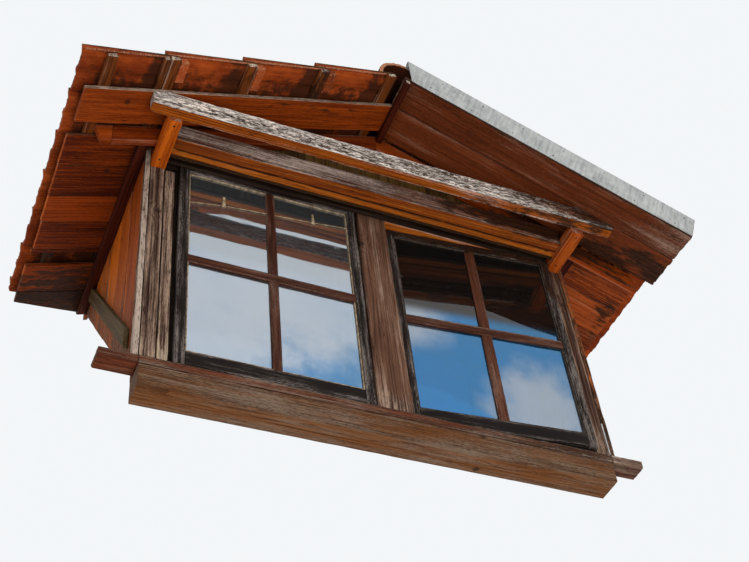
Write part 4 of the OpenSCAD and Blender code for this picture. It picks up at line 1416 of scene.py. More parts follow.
@dataclass
class RoofBoards:
    """Boards on the slopes, seen from below as the soffit."""

    rear_seams: tuple[float, ...] = (-101.7, 50, 213, 355, 512, 606, 764, 918, 1075, 1240)
    missing: Pair = (533.0, 606.0)
    left_front: float = -329.0
    right_seam: Pair = (-331.0, -329.0)
    gap: float = 1.2

    def front(self) -> None:
        """Front boards: one on the left with a pale front edge, two on the right, the lower ends rotten; the
        right boards' front edge, seam and rear edge are darkened as painted shade.
        """

        def taper(points: Points) -> Points:
            """The rear edge comes forward by up to 26 mm towards the ridge."""
            x, y, z = points.T
            return rows_of(x, y - 26 * np.clip((x + 1250) / 1298, 0, 1) * np.clip((y + 250) / 87, 0, 1), z)

        def under_ridge(points: Points) -> Points:
            """Raise a lath so that its top follows the boards' underside beside the ridge."""
            x, y, z = points.T
            return verge_twist(rows_of(x, y, z + (LINES.roof_z(x) - 1603.4)))

        slope, t = Slope(-1), (0, LINES.board_t)
        piece = Piece("left_front_board_worn", "roof_boards", "left_front_board")
        slope.board((-40, LINES.eave_s(-1) - 14), (self.left_front, LINES.front_seam), t, seed=61, fine=5,
                    step=18, wear=Wear(0.95, 0.02, 0.8, 0.3, 0.1, 0.1, 0.05),
                    relief=Relief(0.4, 1.2, 2.2, 3, 2.2), start_cuts=(slope.plumb(),), reshape=taper,
                    ragged=(1, 5),
                    spots=(Spot((-330, -300, 1480), (420, 60, 300), rot=0.38),
                           Spot((-1040, -170, 1240), (160, 20, 90), rot=0.5)),
                    splits=(Split(60, 300, 900, 1.2, 3),)).make(piece)
        piece.build(Wood.SOFFIT)
        slope = Slope(1)
        piece = Piece("right_front_boards_worn", "roof_boards", "right_front_boards")
        # Rot spots along the front edge, the seam and the rear edge: painted shade in those gaps and under
        # the sheet's edge; the spots near the lower end are rot.
        seam = Spot((700, -330, 1350), (4000, 3, 4000), rot=0.8)
        for y, seed, spots in (
            ((LINES.verge_front, self.right_seam[0]), 62, (
                Spot((700, -475, 1350), (4000, 8, 4000), rot=0.95), seam,
                Spot((1310, -420, 1100), (260, 160, 200), wear=0.35))),
            ((self.right_seam[1], LINES.front_seam), 63, (
                seam, Spot((700, -163, 1350), (4000, 12, 4000), rot=0.8),
                Spot((1110, -210, 1180), (160, 60, 90), rot=0.75),
                Spot((1215, -270, 1130), (90, 36, 60), rot=0.8),
                Spot((1290, -225, 1100), (70, 60, 60), rot=0.85),
                Spot((1000, -190, 1220), (90, 30, 60), rot=0.6))),
        ):
            slope.board((-40, LINES.eave_s(1, LINES.right_eave)), y, t, seed=seed, fine=5, step=18,
                        start_cuts=(slope.plumb(),), wear=Wear(0.4, 0.08, 0.8, 0.3, 0.5, 0.7, 0.0),
                        relief=Relief(0.7, 1.6, 2.4, 3, 2.2), ragged=(1, 14), spots=spots,
                        splits=(Split(50, 900, 1500, 1.4, 4), Split(100, 1050, 1500, 1.2, 4)),
                        reshape=verge_twist).make(piece)
        beam((47, 70, -474, -147, 1580, 1603), "y", wear=Wear(0.3, 0.05, 0.3, 0.3, 0.1, 1.4, 0.1),
             seed=64, fine=4, relief=Relief(0.4, 0.8, 1.6, 1.6, 2), reshape=under_ridge).make(piece, 1)
        piece.build(Wood.VERGE, Wood.RED)

    def rear(self, side: int) -> None:
        """Boards behind the rafters, side by side, cut off in the valley; one is missing on the left.

        Args:
            side: -1 for the left, 1 for the right.
        """
        slope, name = Slope(side), SIDES[side] + "_sheathing"
        piece = Piece(name + "_worn", "roof_boards", name)
        if side < 0:
            # Left: a broad rot spot darkens the boards at the back: painted shade.
            spots = (Spot((-1000, 760, 1270), (900, 190, 500), rot=0.6),)
        else:
            spots = tuple(Spot(centre, size, rot=rot) for centre, size, rot in (
                ((1180, 60, 1140), (90, 60, 60), 0.5), ((1020, -30, 1210), (60, 40, 60), 0.45),
                ((1120, 240, 1170), (110, 30, 60), 0.5), ((1240, 150, 1110), (40, 400, 40), 0.5)))
        for k, (y0, y1) in enumerate(zip(self.rear_seams[:-1], self.rear_seams[1:])):
            if side < 0 and y1 == self.missing[1]:
                y1 = self.missing[0]
            # On the left each board further back gets 0.05 more rot: painted shade deepening towards the
            # back.
            short, rot = (14 * chance(k, side + 4, 5), 0.05 * k) if side < 0 else (-12.0, 0.0)
            slope.board((-40, LINES.eave_s(side) - short), (y0 + self.gap, y1 - self.gap), (0, LINES.board_t),
                        seed=70 + k + 20 * (side + 1), fine=8, step=30, hidden="2", spots=spots, end_look=1,
                        start_cuts=(slope.plumb(),), end_cuts=(LINES.valley(),), ragged=(1, 6),
                        wear=Wear(0.5, 0.02 + 0.04 * (k % 3), 0.8, 0.3, 0.1, 0.08, 0.0, rot),
                        relief=Relief(0.3, 1.0, 1.6, 2, 1.8)).make(piece)
        piece.build(Wood.DEEP if side < 0 else Wood.SPLIT, Wood.EAVE)


@dataclass
class TileCover:
    """Battens, tiles and the ridge."""

    gauge: float = 331.0
    tile_cover: float = 203.0
    courses: int = 4
    per_course: int = 9
    head: float = 29.0
    bed: float = 44.3
    lift: float = 16.3
    nose_past: Pair = (9.0, 54.0)
    batten_y: Pair = (-470.0, -452.7)
    tile_y: Pair = (-457.0, -452.4)
    batten_w: Pair = (42.0, 24.0)
    ridge_front: float = -450.7
    ridge_pitch: float = 360.0
    ridge_back: float = 1254.0
    ridge_rise: float = 48.0

    def battens(self, side: int) -> None:
        """Six battens on the boards, with sawn and splintered front ends.

        Args:
            side: -1 for the left, 1 for the right.
        """
        slope, name, y0 = Slope(side), SIDES[side] + "_battens", self.batten_y[side > 0]
        piece = Piece(name + "_worn", "batten_timber", name)
        wide, thin = self.batten_w
        rows = [(self.head + k * self.gauge, wide) for k in range(self.courses)]
        rows += [(50 + 3 * self.gauge + 23, thin), (LINES.eave_s(side) - 94 - 21, wide)]
        for k, (s0, width) in enumerate(rows):
            Timber(slope.place(s0 + width / 2, y0 + (k % 3) * 3, 32), (0, 1, 0), -slope.down, 1700, width, 24,
                   wear=Wear(0.95, 0.04, 0.4, 0.3, 0.1, 0.95, 0.15, (0.0, 0.55, 0.2, 0.1, 0.4, 0.0)[k]),
                   relief=Relief(0.5, 1.2, 2.5, 3.5, 2), seed=90 + k + 9 * side, fine=5, step=45,
                   end_cuts=(LINES.valley(20),), ragged=(7, 1),
                   spots=(Spot((0, 640, 1350), (9000, 600, 4000), rot=0.9),)).make(piece)
        piece.build(Wood.BATTEN)

    def profile(self, y: Array, y_tile: float) -> Array:
        """Height over the tile's bed: two troughs with a side roll, a middle rib and small drainage ribs.

        Args:
            y: place across the roof.
            y_tile: left edge of the tile's cover.

        Returns:
            Height in mm.
        """
        v = (y - y_tile) / self.tile_cover
        roll = 17 * bell(v - 0.02, 0.09) + 15 * bell(v - 1.02, 0.075)
        return roll + 11 * bell(v - 0.5, 0.075) + 1.5 * np.cos(2 * np.pi * v * 9)

    def tile(self, piece: Piece, slope: Slope, ends: Numbers, y0: float, start: float, seed: int) -> None:
        """One tile: top and underside as grids over s and y, joined round the edge.

        Height is bed + lift * share + profile; the nose edge is nibbled by noise.

        Args:
            piece: the covering.
            slope: roof side.
            ends: head and nose along the slope.
            y0: left edge of the cover.
            start: left edge that is shown.
            seed: noise pattern.
        """
        head, nose = ends
        stop = y0 + self.tile_cover + 1.0
        f = np.array([0, 0.04, 0.12, 0.22, 0.34, 0.46, 0.58, 0.7, 0.8, 0.88, 0.94, 0.98, 1.0])[:, None]
        v = np.linspace(0, 1, 25)[None, :]
        bite = 5 * fractal(v * 9, 0 * v, seed) ** 2 + 2 * noise(v * 30, 0 * v, seed + 2)
        s = head + f * (nose - head) - bite * f**6
        bed = self.bed + self.lift * f
        pitch = LINES.pitch(slope.side)
        height = LINES.ridge_z - s * math.sin(pitch) + bed * math.cos(pitch)
        limit = LINES.face_y + (height - 60) / LINES.slope
        ok = (limit > start + 12).all(1)
        if ok.sum() < 3:
            return
        s, bed, limit, f = s[ok], bed[ok], limit[ok], f[ok]
        y = start + v * (np.minimum(stop, limit) - start)
        shape = self.profile(y, y0) * (1 - 0.15 * (1 - f))
        lean = 2.5 * (fractal(np.array(seed * 1.7), np.array(0.3), 4) - 0.5)
        over = 0.4 + 14.5 * (0.35 + 0.65 * f) + shape + lean * v
        under = np.maximum(0.2 + shape * 0.82, 0)
        nick = 1.6 * fractal(s / 16, y / 16, seed + 8) ** 2
        top, low = slope.place(s, y, bed + over - nick), slope.place(s, y, bed + under)
        faces = shell(*y.shape)[:, ::slope.side]
        tint = chance(seed, 3, 8)
        edge = np.clip((f - 0.9) * 6, 0, 1)
        # Top: darker in the troughs and where the next tiles lap over, partly dirt and partly painted shade
        # that brings out the shape.
        trough = np.clip(1 - shape / 9.0, 0, 1) * 0.22
        lap = 0.35 * bell(f - 0.17, 0.07) + 0.4 * bell(v, 0.035)
        soil_and_shade = 0.12 + 0.25 * fractal(s / 90, y / 90, seed) + trough + lap
        inside = np.clip((LINES.eave_s(slope.side) - 22 - s) / 30, 0, 1)
        ahead = np.clip((-462 - y) / 6, 0, 1)
        # Underside: darker under the head's lap, towards the back and along a thin line near the front:
        # painted shade; the fractal term is grime.
        stain = 0.16 + 0.5 * (f < 0.3) + 0.3 * fractal(s / 50, y / 26, seed + 4) ** 2
        stain = stain + 0.5 * np.clip((y + 420) / 120, 0, 1) * inside + 0.35 * bell(y + 452, 6)
        worn = np.maximum(0.55 * ahead, 0.2 * (1 - inside) * fractal(s / 30, y / 20, seed + 6))
        local = rows_of(s, y, shape)
        above = rows_of(0.5 + edge * 0.3, soil_and_shade, tint)
        below = rows_of(worn, stain * (1 - 0.8 * ahead), tint * 0.6 + 0.2)
        piece.add(join([top.reshape(-1, 3), low.reshape(-1, 3)]), faces,
                  join([local, local + (0, 0, 40)]), join([above, below]))

    def tiles(self, side: int) -> None:
        """Four courses, each tile set from the front edge backwards to the valley; hooks and lips below.

        Args:
            side: -1 for the left, 1 for the right.
        """
        slope, name, y0 = Slope(side), SIDES[side] + "_tiles", self.tile_y[side > 0]
        piece = Piece(name + "_fired", "clay_tile", name, crease=40.0)
        for k in range(self.courses):
            head = self.head + k * self.gauge
            nose = 50 + (k + 1) * self.gauge + 26
            if k == self.courses - 1:
                nose = LINES.eave_s(side) + self.nose_past[side > 0]
            for j in range(self.per_course):
                left, seed = y0 + j * self.tile_cover, 120 + 10 * k + j + 50 * side
                start = left + (3.0 * chance(k, j, 6) if j else 0.0)
                self.tile(piece, slope, (head, nose - 5 * chance(j, k, 9)), left, start, seed)
            if k:
                slope.board((head - 42, head - 3), (y0 + 5, y0 + 118 - 14 * (k % 2)), (27, 60),
                            seed=190 + k, fine=5, step=5, wear=Wear(0.34, 0.3, 0.5, 0.2, 0.34, 0.3, 0.2, 0.2),
                            relief=Relief(0.2, 1.5, 3.0, 4.0, 5.0), ragged=(3, 3)).make(piece)
            if side < 0:
                low = self.bed + 11.5
                a, b = slope.place((head + 3, nose - 9), y0 + 4.4, (low, low + self.lift))
                Timber(a, b - a, (0, 1, 0), float(np.linalg.norm(b - a)), 7.5, 9, seed=240 + k, fine=3,
                       step=9, wear=Wear(0.6, 0.5, 0.5, 0.3, 0.6, 0.5, 0.1),
                       relief=Relief(0.1, 0.8, 1.4, 1.6, 3.2)).make(piece)
        piece.build(CLAY)

    def ridge(self) -> None:
        """Half-round ridge tiles with collars: radius is swept by angle and length, thick all round.

        The outer radius is body + collar share * 8 mm; a tile narrows by 4 mm towards its rear. A
        point is ridge + radius * (sine, cosine) of the angle, and the front rim is nibbled by noise.
        """
        piece = Piece("ridge_tiles_fired", "clay_tile", "ridge_tiles", crease=40.0)
        centre = LINES.ridge_z + self.ridge_rise
        angle = np.radians(np.linspace(-101, 101, 45))[None, :]
        w = np.array([0, 0.006, 0.02, 0.07, 0.14, 0.155, 0.17, 0.3, 0.45, 0.6, 0.75, 0.9, 1.0])[:, None]
        collar, rim = w < 0.16, w < 0.003
        for k in range(5):
            y = self.ridge_front + k * self.ridge_pitch + w * (self.ridge_pitch + 26)
            y = np.minimum(y, self.ridge_back + 17 * w)
            if y[-1, 0] - y[0, 0] < 30:
                break
            outer = np.where(collar, 105.0, 97.0 - 4 * w) - 1.8 * (w < 0.004)
            outer = outer - 1.6 * fractal(angle * 7, y / 60, 200 + k) ** 2
            inner = np.where(collar, 88.0, 83.0 - 2 * w)
            front = np.exp(-(y - y[0]) / 60)
            along = y + 7 * fractal(angle * 5, 0 * y, 210 + k) ** 2 * (w < 0.01)
            points = [rows_of(LINES.ridge_x + radius * np.sin(angle), along, centre + radius * np.cos(angle))
                      for radius in (outer, inner)]
            local = rows_of(along, 100 * angle, outer - 97.0)
            above = rows_of(0.5 + 0.7 * rim, 0.3 + 0.3 * front * (1 - rim), chance(k, 2, 12) + 0 * outer)
            # Inside of each ridge tile strongly darkened: painted shade under the arch.
            below = rows_of(1.0 * rim, 0.9 - 0.6 * rim, 0 * outer)
            piece.add(join(points), shell(*outer.shape), join([local, local + (0, 0, 60)]),
                      join([above, below]))
        piece.build(CLAY)


@dataclass
class Verge:
    """Timber upstand on the right verge and the bent sheet over it."""

    back: float = -453.0
    upstand_top: float = 146.0
    height: float = 148.0
    foot: float = 8.0
    lip: float = 24.0
    thick: float = 1.5
    start: float = 28.0

    def upstand(self) -> None:
        """The board under the sheet."""
        slope = Slope(1)
        piece = Piece("verge_upstand_worn", "batten_timber", "verge_upstand")
        slope.board((20, LINES.eave_s(1, LINES.right_eave)), (LINES.verge_front, self.back),
                    (LINES.board_t, self.upstand_top), seed=141, fine=12, step=40, reshape=verge_twist,
                    start_cuts=(slope.plumb(self.start),), wear=Wear(0.6, 0.4, 0.6, 0.5)).make(piece)
        piece.build(Wood.BATTEN)

    def flashing(self) -> None:
        """Sheet bent over the upstand, from the dented front face over the top to the lip behind.

        The profile's points run up the front, over and down; each is moved by dents that are
        noise over length and height, the lower edge sags a little, and the eave end is torn.
        """
        slope, pitch, top = Slope(1), LINES.pitch(1), self.height
        path = [(-476.8, q) for q in np.linspace(self.foot, top - 3, 17)]
        path += [(-476.2, top - 1.0), (-474.8, top)] + [(p, top) for p in np.linspace(-470, -456, 3)]
        path += [(-452.2, top - 0.6), (-451.0, top - 2.5)]
        path = np.array(path + [(-451.0, q) for q in np.linspace(top - 8, top - self.lip, 4)])
        step = np.abs(np.diff(path, axis=0, append=2 * path[-1:] - path[-2:-1]))
        flat, upright = (step / np.linalg.norm(step, axis=1, keepdims=True) > 0.3).T
        (p, q), s = path.T[:, None], np.linspace(0, 1, 150)[:, None]
        start = self.start / math.cos(pitch) - q * math.tan(pitch)
        along = start + s * (LINES.eave_s(1, LINES.right_eave) + 1 - start)
        along = along - 9 * fractal(q / 22 + 0 * s, 0 * q + 0 * s, 150) * s**30
        dent = 1.3 * fractal(along / 120, q / 90, 151) + 1.2 * fractal(along / 45, q / 50, 152) ** 2
        y = p + np.clip(dent, 0, 2.4) * (p < -476)
        z = q + 3 * noise(along / 160, 0 * along, 154) * bell(q - self.foot, 30)
        behind = y + self.thick * np.where(p < -464, 1, -1) * upright
        inner = slope.place(along, behind, z - self.thick * flat)
        around = join([[0], np.cumsum(np.hypot(*np.diff(path, axis=0).T))])
        local = rows_of(along, around, 0.0)
        state = rows_of(0 * along, 0.35 * bell(q - self.foot, 14) + 0.25 * s**8, 0.5)
        points = join([slope.place(along, y, z).reshape(-1, 3), inner.reshape(-1, 3)])
        piece = Piece("verge_flashing_bent", "zinc_sheet", "verge_flashing")
        piece.add(verge_twist(points), shell(*along.shape)[:, ::-1], join([local, local]),
                  join([state, state]))
        down, high = np.meshgrid(np.linspace(110, 1290, 7), (38.0, 118.0))
        heads = slope.place(down + 37 * (high > 60), -475.4, high).reshape(-1, 3)
        nails(piece, verge_twist(heads), (0, -1, 0), 3.6)
        piece.build(ZINC, IRON)


@dataclass
class Cheeks:
    """Side walls of upright boards, with their trims and the boards along the steep roof."""

    seams: tuple[float, ...] = (-55, -22, 145, 292, 470, 680, 842, 960)
    inner_x: float = 913.3
    top: float = 1290.0
    lap: float = 2.4
    end_gap: float = 1.2
    recess: float = 1.6
    trim_w: float = 42.0
    trim_h: float = 45.0
    sole_y: float = 55.3
    sole_size: Pair = (58.0, 60.0)
    side_board_y: float = 15.0
    side_board_h: float = 98.0

    def boards(self, side: int) -> None:
        """Upright boards, lapped by turns, orange under the eave and grey at the foot.

        Args:
            side: -1 for the left, 1 for the right.
        """
        name = SIDES[side] + "_cheek"
        piece = Piece(name + "_worn", "cheek_boards", name)
        for k, (y0, y1) in enumerate(zip(self.seams[:-1], self.seams[1:])):
            middle, turn = (y0 + y1) / 2, k % 2
            face = LINES.wall_half - self.recess * turn
            weather = Wear(0.7, 0.2, 0.3, 0.3, 0.1, 0.5, 0.1)
            if k == 0:
                weather = Wear(0.85 if side < 0 else 0.5, 0.3, 0.4, 0.3, 0.62, 0.5, 0.3)
            start = y0 - self.lap if k else y0 + self.end_gap
            end = y1 + self.lap if y1 < self.seams[-1] else y1 - self.end_gap
            foot = Spot((0, middle, float(LINES.sole_z(middle))), (3000, 260, 330), wear=0.62, rot=0.22)
            front = Spot((0, -55, 500), (3000, 30, 900), 0.35 * (side < 0), 0.62 * (side > 0))
            x0, x1 = sorted((side * self.inner_x, side * face))
            beam((x0, x1, start, end, LINES.sill_top, self.top), "z", wear=weather, spots=(foot, front),
                 relief=Relief(0.5, 1.2, 2.4, 3, 2), seed=160 + k + 20 * side, fine=6, step=20,
                 start_cuts=(LINES.valley(),), end_cuts=(LINES.under_roof(side),),
                 splits=(Split(24 + 90 * turn, 200, 900, 1.5, 5),)).make(piece)
            low, off = float(LINES.sole_z(y1)) + 90, 0.28 * (y1 - y0)
            spots = [(side * (face - 0.4), y, z) for y in (middle - off, middle + off) for z in (low, 1166)
                     if y1 - y0 > 60 and float(LINES.sole_z(y)) + 14 < z < 1180]
            if spots:
                nails(piece, spots, (side, 0, 0), 3.6)
        piece.build(Wood.CHEEK, IRON)

    def soles(self, side: int) -> None:
        """Plate that lies on the steep roof inside the cheek.

        Args:
            side: -1 for the left, 1 for the right.
        """
        name, y0 = SIDES[side] + "_sole_plate", self.sole_y
        start = np.array([side * 884.0, y0, float(LINES.sole_z(y0))])
        start = start + LINES.off_steep * self.sole_size[1] / 2 - LINES.up_steep * 90
        piece = Piece(name + "_worn", "frame_timber", name)
        Timber(start, LINES.up_steep, (-1, 0, 0), 1500, *self.sole_size, seed=170 + side, fine=10, step=40,
               start_cuts=(Cut((0, -1.0, 0), -y0),), end_cuts=(Cut((0, 0, 1.0), LINES.post_top - 0.3),),
               wear=Wear(0.4, 0.3, 0.4, 0.3, 0.3)).make(piece)
        piece.build(Wood.SHADED)

    def trims(self) -> None:
        """Dark red trim under the roof boards beside each cheek."""
        piece = Piece("cheek_trims_worn", "red_trim", "cheek_trims")
        for side in SIDES:
            middle = side * (LINES.wall_half + self.trim_w / 2)

            def lean(points: Points, middle: float = middle) -> Points:
                """Height follows the roof's underside across the trim."""
                x, y, z = points.T
                return rows_of(x, y, z + (LINES.roof_z(x) - LINES.roof_z(middle)))

            x = sorted((side * LINES.wall_half, side * (LINES.wall_half + self.trim_w)))
            top = float(LINES.roof_z(middle)) - 0.5
            beam((*x, -117, 1200, top - self.trim_h, top), "y", seed=180 + side, fine=6, reshape=lean,
                 end_cuts=(LINES.valley(),), wear=Wear(0.5, 0.05, 0.3, 0.3, 0.1)).make(piece)
        piece.build(Wood.RED)

    def flashings(self, side: int) -> None:
        """Board along the foot of the cheek, parallel to the steep roof, with plumb front end.

        Args:
            side: -1 for the left, 1 for the right.
        """
        name, y0 = SIDES[side] + "_side_flashing", self.side_board_y
        start = np.array([side * 944.0, y0, float(LINES.sole_z(y0)) + 117 + 49]) - LINES.up_steep * 120
        piece = Piece(name + "_worn", "side_board", name)
        Timber(start, LINES.up_steep, (-1, 0, 0), 1600, 18, self.side_board_h * math.cos(LINES.steep),
               start_cuts=(Cut((0, -1.0, 0), -y0),), end_cuts=(LINES.under_roof(side, 46.3),),
               seed=190 + side, fine=6, step=24, relief=Relief(0.4, 1.0, 2, 3, 1.6),
               wear=Wear(0.6, 0.4, 0.5, 0.3, 0.4)).make(piece)
        piece.build(Wood.OLIVE)


@dataclass
class Window:
    """One window: casing, outer sash with bars and putty, and the inner sash behind."""

    name: str
    origin: Triple
    width: float
    height: float
    casing: Triple
    bar_x: float
    bar_w: float
    bar_z: float
    seed: int
    turn: float = 0.0
    stile: float = 38.0
    low_rail: float = 64.0
    top_rail: float = 36.0
    thick: float = 38.0
    bar_h: float = 42.0
    putty_y: Pair = (4.0, 10.8)
    putty_w: Pair = (6.0, 7.0)
    casing_z: Pair = (125.0, 1194.7)
    casing_back: float = 63.0
    casing_w: float = 20.0
    inner_z: Pair = (145.3, 1174.4)
    inner_front: float = 35.0
    inner_w: float = 42.0
    wire: tuple[Triple, ...] = ()
    # Spots that darken the sash with rot colours: painted shade under the head, and rot.
    shade: tuple[Spot, ...] = ()

    def settle(self, points: Points) -> Points:
        """Turn about the hinge side by the sash's angle, then move to its place."""
        a = math.radians(self.turn)
        x, y, z = points.T
        turned = np.stack([x * math.cos(a) - y * math.sin(a), x * math.sin(a) + y * math.cos(a), z], -1)
        return turned + np.asarray(self.origin)

    def sash(self) -> None:
        """Stiles between rails, each with its own wear, then bars, putty and any wire."""
        dark = Wear(0.3, 0.15, 0.4, 0.2, 0.3, 0.5, 0.5)
        rotten = Wear(0.42, 0.2, 0.5, 0.3, 0.3, 0.6, 0.5, 0.15)
        w, top = self.width, self.height - self.top_rail
        left, right, low = self.stile, w - self.stile, self.low_rail
        piece = Piece(self.name + "_sash_worn", "sash_timber", self.name + "_sash")
        sides = framed((0, w), (0, self.thick), (0, self.height), (self.stile, self.low_rail, self.top_rail))
        for k, ((box, along), looks) in enumerate(zip(sides, (dark, rotten, dark, dark))):
            beam(box, along, wear=looks, relief=Relief(0.5, 1.0, 2.4, 3.0, 1.8), seed=self.seed + k,
                 fine=3.5, step=14, reshape=self.settle, spots=self.shade,
                 splits=(Split(14, 100, 600, 1.2, 3), Split(26, 400, 900, 1.0, 3))).make(piece)
        bar = {"wear": Wear(0.25, 0.05, 0.5, 0.3, 0.2, 0.5, 0.3), "fine": 4, "step": 16,
               "relief": Relief(0.3, 0.6, 1.2, 1.2, 2.4), "reshape": self.settle}
        x0, x1 = self.bar_x - self.bar_w / 2, self.bar_x + self.bar_w / 2
        z0, z1 = self.bar_z - self.bar_h / 2, self.bar_z + self.bar_h / 2
        for y0, y1 in ((1.5, 10.8), (15.2, 36.0)):
            beam((x0, x1, y0 + 2.0, y1, low - 4, top + 4), "z", seed=self.seed + 7, spots=self.shade,
                 **bar).make(piece, 1)
            beam((left - 4, right + 4, y0 - 1.0, y1, z0, z1), "x", seed=self.seed + 8, **bar).make(piece, 1)
        # Where the sash has shade spots its putty takes the darker putty finish: painted shade.
        side, above = self.putty_w
        for x, z, along in (
            ((left, left + side), (low, top), "z"), ((right - side, right), (low, top), "z"),
            ((left, right), (top - above, top), "x"), ((left, right), (low, low + side), "x"),
        ):
            beam((*x, *self.putty_y, *z), along, wear=Wear(0.5, 0.3, 0.5, 0.3, 0.5),
                 relief=Relief(0.2, 0.8, 1.0, 1.5, 1.5), seed=self.seed + 9, fine=3, step=12,
                 reshape=self.settle).make(piece, 4 if self.shade else 2)
        self.hang_wire(piece)
        piece.build(Wood.SASH, Wood.BAR, PUTTY, WIRE, SHADED_PUTTY)

    def casing_boards(self) -> None:
        """Four casing boards, and on the right window the block over the sash."""
        (x0, x1, y0), (z0, z1) = self.casing, self.casing_z
        piece = Piece(self.name + "_casing_worn", "casing_timber", self.name + "_casing")
        boxes = framed((x0, x1), (y0, self.casing_back), (z0, z1), (self.casing_w,) * 3)
        if y0 > 0:
            boxes.append(((x0, x1, -54, y0, 1175, z1), "x"))
        for k, (box, along) in enumerate(boxes):
            weather = Wear(0.4, 0.2, 0.3, 0.2, 0.3) if k < 4 else Wear(0.1, 0.02)
            beam(box, along, wear=weather, seed=self.seed + 20 + k, fine=8, step=30, reshape=close_to_post,
                 relief=Relief(0.3, 0.6, 1.2, 1.5, 1.8)).make(piece, k // 4)
        piece.build(Wood.DARK, Wood.TIE)

    def inner(self) -> None:
        """Inner sash at the back of the casing."""
        x = (self.casing[0] + 20.3, self.casing[1] - 20.3)
        piece = Piece(self.name + "_inner_sash_worn", "inner_timber", self.name + "_inner_sash")
        sides = framed(x, (self.inner_front, self.casing_back), self.inner_z, (self.inner_w,) * 3)
        for k, (box, along) in enumerate(sides):
            beam(box, along, wear=Wear(0.3, 0.2, 0.3, 0.3, 0.3), relief=Relief(0.2, 0.5, 1.0, 1.2, 2),
                 seed=self.seed + 40 + k, fine=7, step=30).make(piece)
        piece.build(Wood.INNER)

    def hang_wire(self, piece: Piece) -> None:
        """Thin wire across the upper panes, with two clips: rounded bars along the points, if any.

        Args:
            piece: the sash that it is fixed to.
        """
        path = np.asarray(self.wire, float)
        for k, (a, b) in enumerate(zip(path[:-1], path[1:])):
            Timber(a, b - a, (0, 1, 0), float(np.linalg.norm(b - a)), 2.6, 2.6, seed=self.seed + 60 + k,
                   fine=2.6, step=40, relief=Relief(0, 0, 0, 0, 1.1), ragged=(0, 0)).make(piece, 3)
        for k, (x, y, z) in enumerate(path[1:-1]):
            beam((x - 8, x + 8, y - 1.8, y + 1.8, z - 8, z + 52), "z", seed=self.seed + 70 + k, fine=3,
                 step=5, relief=Relief(0.1, 0.6, 1.2, 1.0, 1.6), end_width=10).make(piece, 3)


@dataclass
class Studio:
    """Pale floor and surround, soft lamps and the camera at the photo's angle, in metres and degrees."""

    yaw: float = 28.5195
    pitch: float = 46.2965
    roll: float = -7.4633
    place: Triple = (-1.61644, -3.03293, -2.76187)
    sensor: float = 36.0
    focal: float = 1250.03 / 749 * 36.0
    clip: Pair = (0.05, 200.0)
    aim: Triple = (0.0, 0.0, 0.9)
    floor_z: float = -7.5
    floor_half: float = 24.0
    pale: str = "ecebe8"
    lamps: tuple[tuple[str, Triple, float, float], ...] = (
        ("key", (7.5, -3.6, 4.6), 2.0, 260),
        ("fill", (-6.5, -4.0, -1.0), 3.0, 110),
        ("bounce", (0.5, -5.0, -6.5), 5.0, 480),
    )

    def camera(self) -> None:
        """Camera from its three angles: forward by yaw and pitch, then rolled."""
        yaw, pitch, roll = (math.radians(v) for v in (self.yaw, self.pitch, self.roll))
        fwd = Vector((math.sin(yaw) * math.cos(pitch), math.cos(yaw) * math.cos(pitch), math.sin(pitch)))
        right = Vector((math.cos(yaw), -math.sin(yaw), 0.0))
        up = right.cross(fwd)
        r = math.cos(roll) * right + math.sin(roll) * up
        u = -math.sin(roll) * right + math.cos(roll) * up
        data = bpy.data.cameras.new("camera")
        data.sensor_fit, data.sensor_width, data.lens = "HORIZONTAL", self.sensor, self.focal
        data.clip_start, data.clip_end = self.clip
        cam = placed("camera", data)
        cam.matrix_world = Matrix.Translation(self.place) @ Matrix((r, u, -fwd)).transposed().to_4x4()
        bpy.context.scene.camera = cam

    def lamp(self, name: str, place: Numbers, size: float, power: float) -> None:
        """A square soft lamp that looks at the dormer."""
        data = bpy.data.lights.new(name, "AREA")
        data.size, data.energy = size, power
        lamp = placed(name, data)
        lamp.visible_camera = lamp.visible_glossy = False
        turn = (Vector(self.aim) - Vector(place)).to_track_quat("-Z", "Y")
        lamp.matrix_world = Matrix.Translation(place) @ turn.to_matrix().to_4x4()

    def surround(self) -> None:
        """World that is plain white to the camera, to metal and through glass, and softer as light."""
        world = bpy.data.worlds.new("studio")
        g = Graph(world, "ShaderNodeMixShader", "ShaderNodeOutputWorld")
        light = g.value(0, "ShaderNodeBackground", {0: (1, 1, 1, 1), 1: 0.5})
        shown = g.value(0, "ShaderNodeBackground", {0: (0.9, 0.92, 0.94, 1), 1: 1.0})
        seen = g.seen("Is Camera Ray", "Is Glossy Ray", "Is Transmission Ray")
        for key, value in enumerate((seen, light, shown)):
            g.feed(g.shader.inputs[key], value)
        bpy.context.scene.world = world

    def floor(self) -> None:
        """A flat pale floor far below, where no view of the dormer meets it from under."""
        n, z = self.floor_half, self.floor_z
        mesh = bpy.data.meshes.new("floor")
        mesh.from_pydata([(-n, -n, z), (n, -n, z), (n, n, z), (-n, n, z)], [], [(0, 1, 2, 3)])
        g = Graph.material("pale_floor")
        glow = g.seen("Is Camera Ray", "Is Glossy Ray") * 0.34
        colour = g.mix(g.cloud(g.place(), 0.6), "e2e2df", self.pale)
        mesh.materials.append(g.finish(colour, 0.9, Emission_Color=self.pale, Emission_Strength=glow,
                                       Specular_IOR_Level=0.2))
        placed("floor", mesh)

    def build(self) -> None:
        """Everything round the dormer."""
        self.camera()
        self.surround()
        self.floor()
        for lamp in self.lamps:
            self.lamp(*lamp)
        bpy.context.scene.view_settings.view_transform = "Standard"
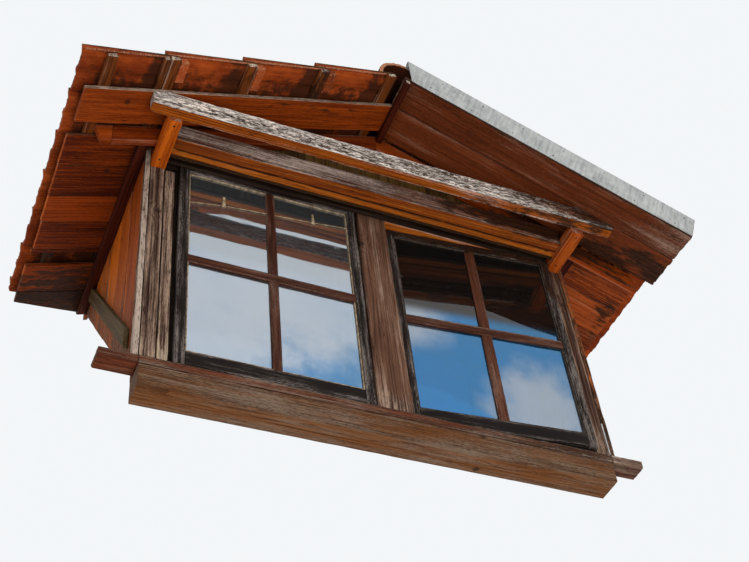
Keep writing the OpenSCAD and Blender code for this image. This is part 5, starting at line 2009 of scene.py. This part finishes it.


# Pane colours are painted reflections: blue sky and cloud patches in the lower panes, a pale or dark
# reflected tone in the upper ones.
PANES = {
    "left_pane": GlassFinish("left_glass", "5fa3d4", "d2d9df", mirror=0.56,
                             clouds=((-0.62, 0.62, 0.5), (-0.27, 0.62, 0.46), (-0.72, 0.3, 0.45))),
    "right_pane": GlassFinish("right_glass", "42a0dc", "5c5652", mirror=0.36, lean=0.03,
                              clouds=((0.14, 0.67, 0.2), (0.66, 0.3, 0.26))),
    "inner_panes": GlassFinish("inner_glass", "bccedc", "5a5450", mirror=0.3),
}
WINDOWS = (
    Window("left", (-793, -55, 128), 741.5, 1066.7, casing=(-812.7, -48.8, -16.7), bar_x=373, bar_w=39,
           bar_z=532, seed=300,
           wire=((-757, -48, 984), (-613, -48, 1014), (-238, -48, 1052), (-88, -48, 1072))),
    # Right window: the first spot is painted shade along the top of the sash, the second rot on the upper
    # right stile.
    Window("right", (99.5, -21, 128), 750.2, 1044, casing=(96.8, 854.7, 17.3), bar_x=378, bar_w=46, bar_z=527,
           seed=340, turn=-4.5, shade=(Spot((375, 0, 1050), (800, 300, 70), rot=1.0),
                                       Spot((740, 0, 860), (60, 300, 260), rot=0.55))),
)


def dress_frame() -> None:
    """Give the panes, which keep the frame's own solids, their glass."""
    for name, finish in PANES.items():
        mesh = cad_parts[name].data
        mesh.materials.clear()
        mesh.materials.append(finish.material())


def main() -> None:
    """Build the pieces in order and report each."""
    logging.basicConfig(level=logging.INFO, format="%(name)s: %(message)s")
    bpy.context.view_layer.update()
    Studio().build()
    wall, front, boards = WallFrame(), EaveFront(), RoofBoards()
    cover, verge, cheeks = TileCover(), Verge(), Cheeks()
    for step in (wall.sill, wall.posts, wall.plates, wall.heads, front.front_beam, front.ties, front.gable,
                 front.rafters, boards.front):
        step()
    for step in (boards.rear, cover.battens, cover.tiles):
        for side in SIDES:
            step(side)
    for step in (cover.ridge, verge.upstand, verge.flashing):
        step()
    for side in SIDES:
        cheeks.boards(side)
        cheeks.soles(side)
        cheeks.flashings(side)
    cheeks.trims()
    for window in WINDOWS:
        window.casing_boards()
        window.sash()
        window.inner()
    dress_frame()


if __name__ == "__main__":
    main()
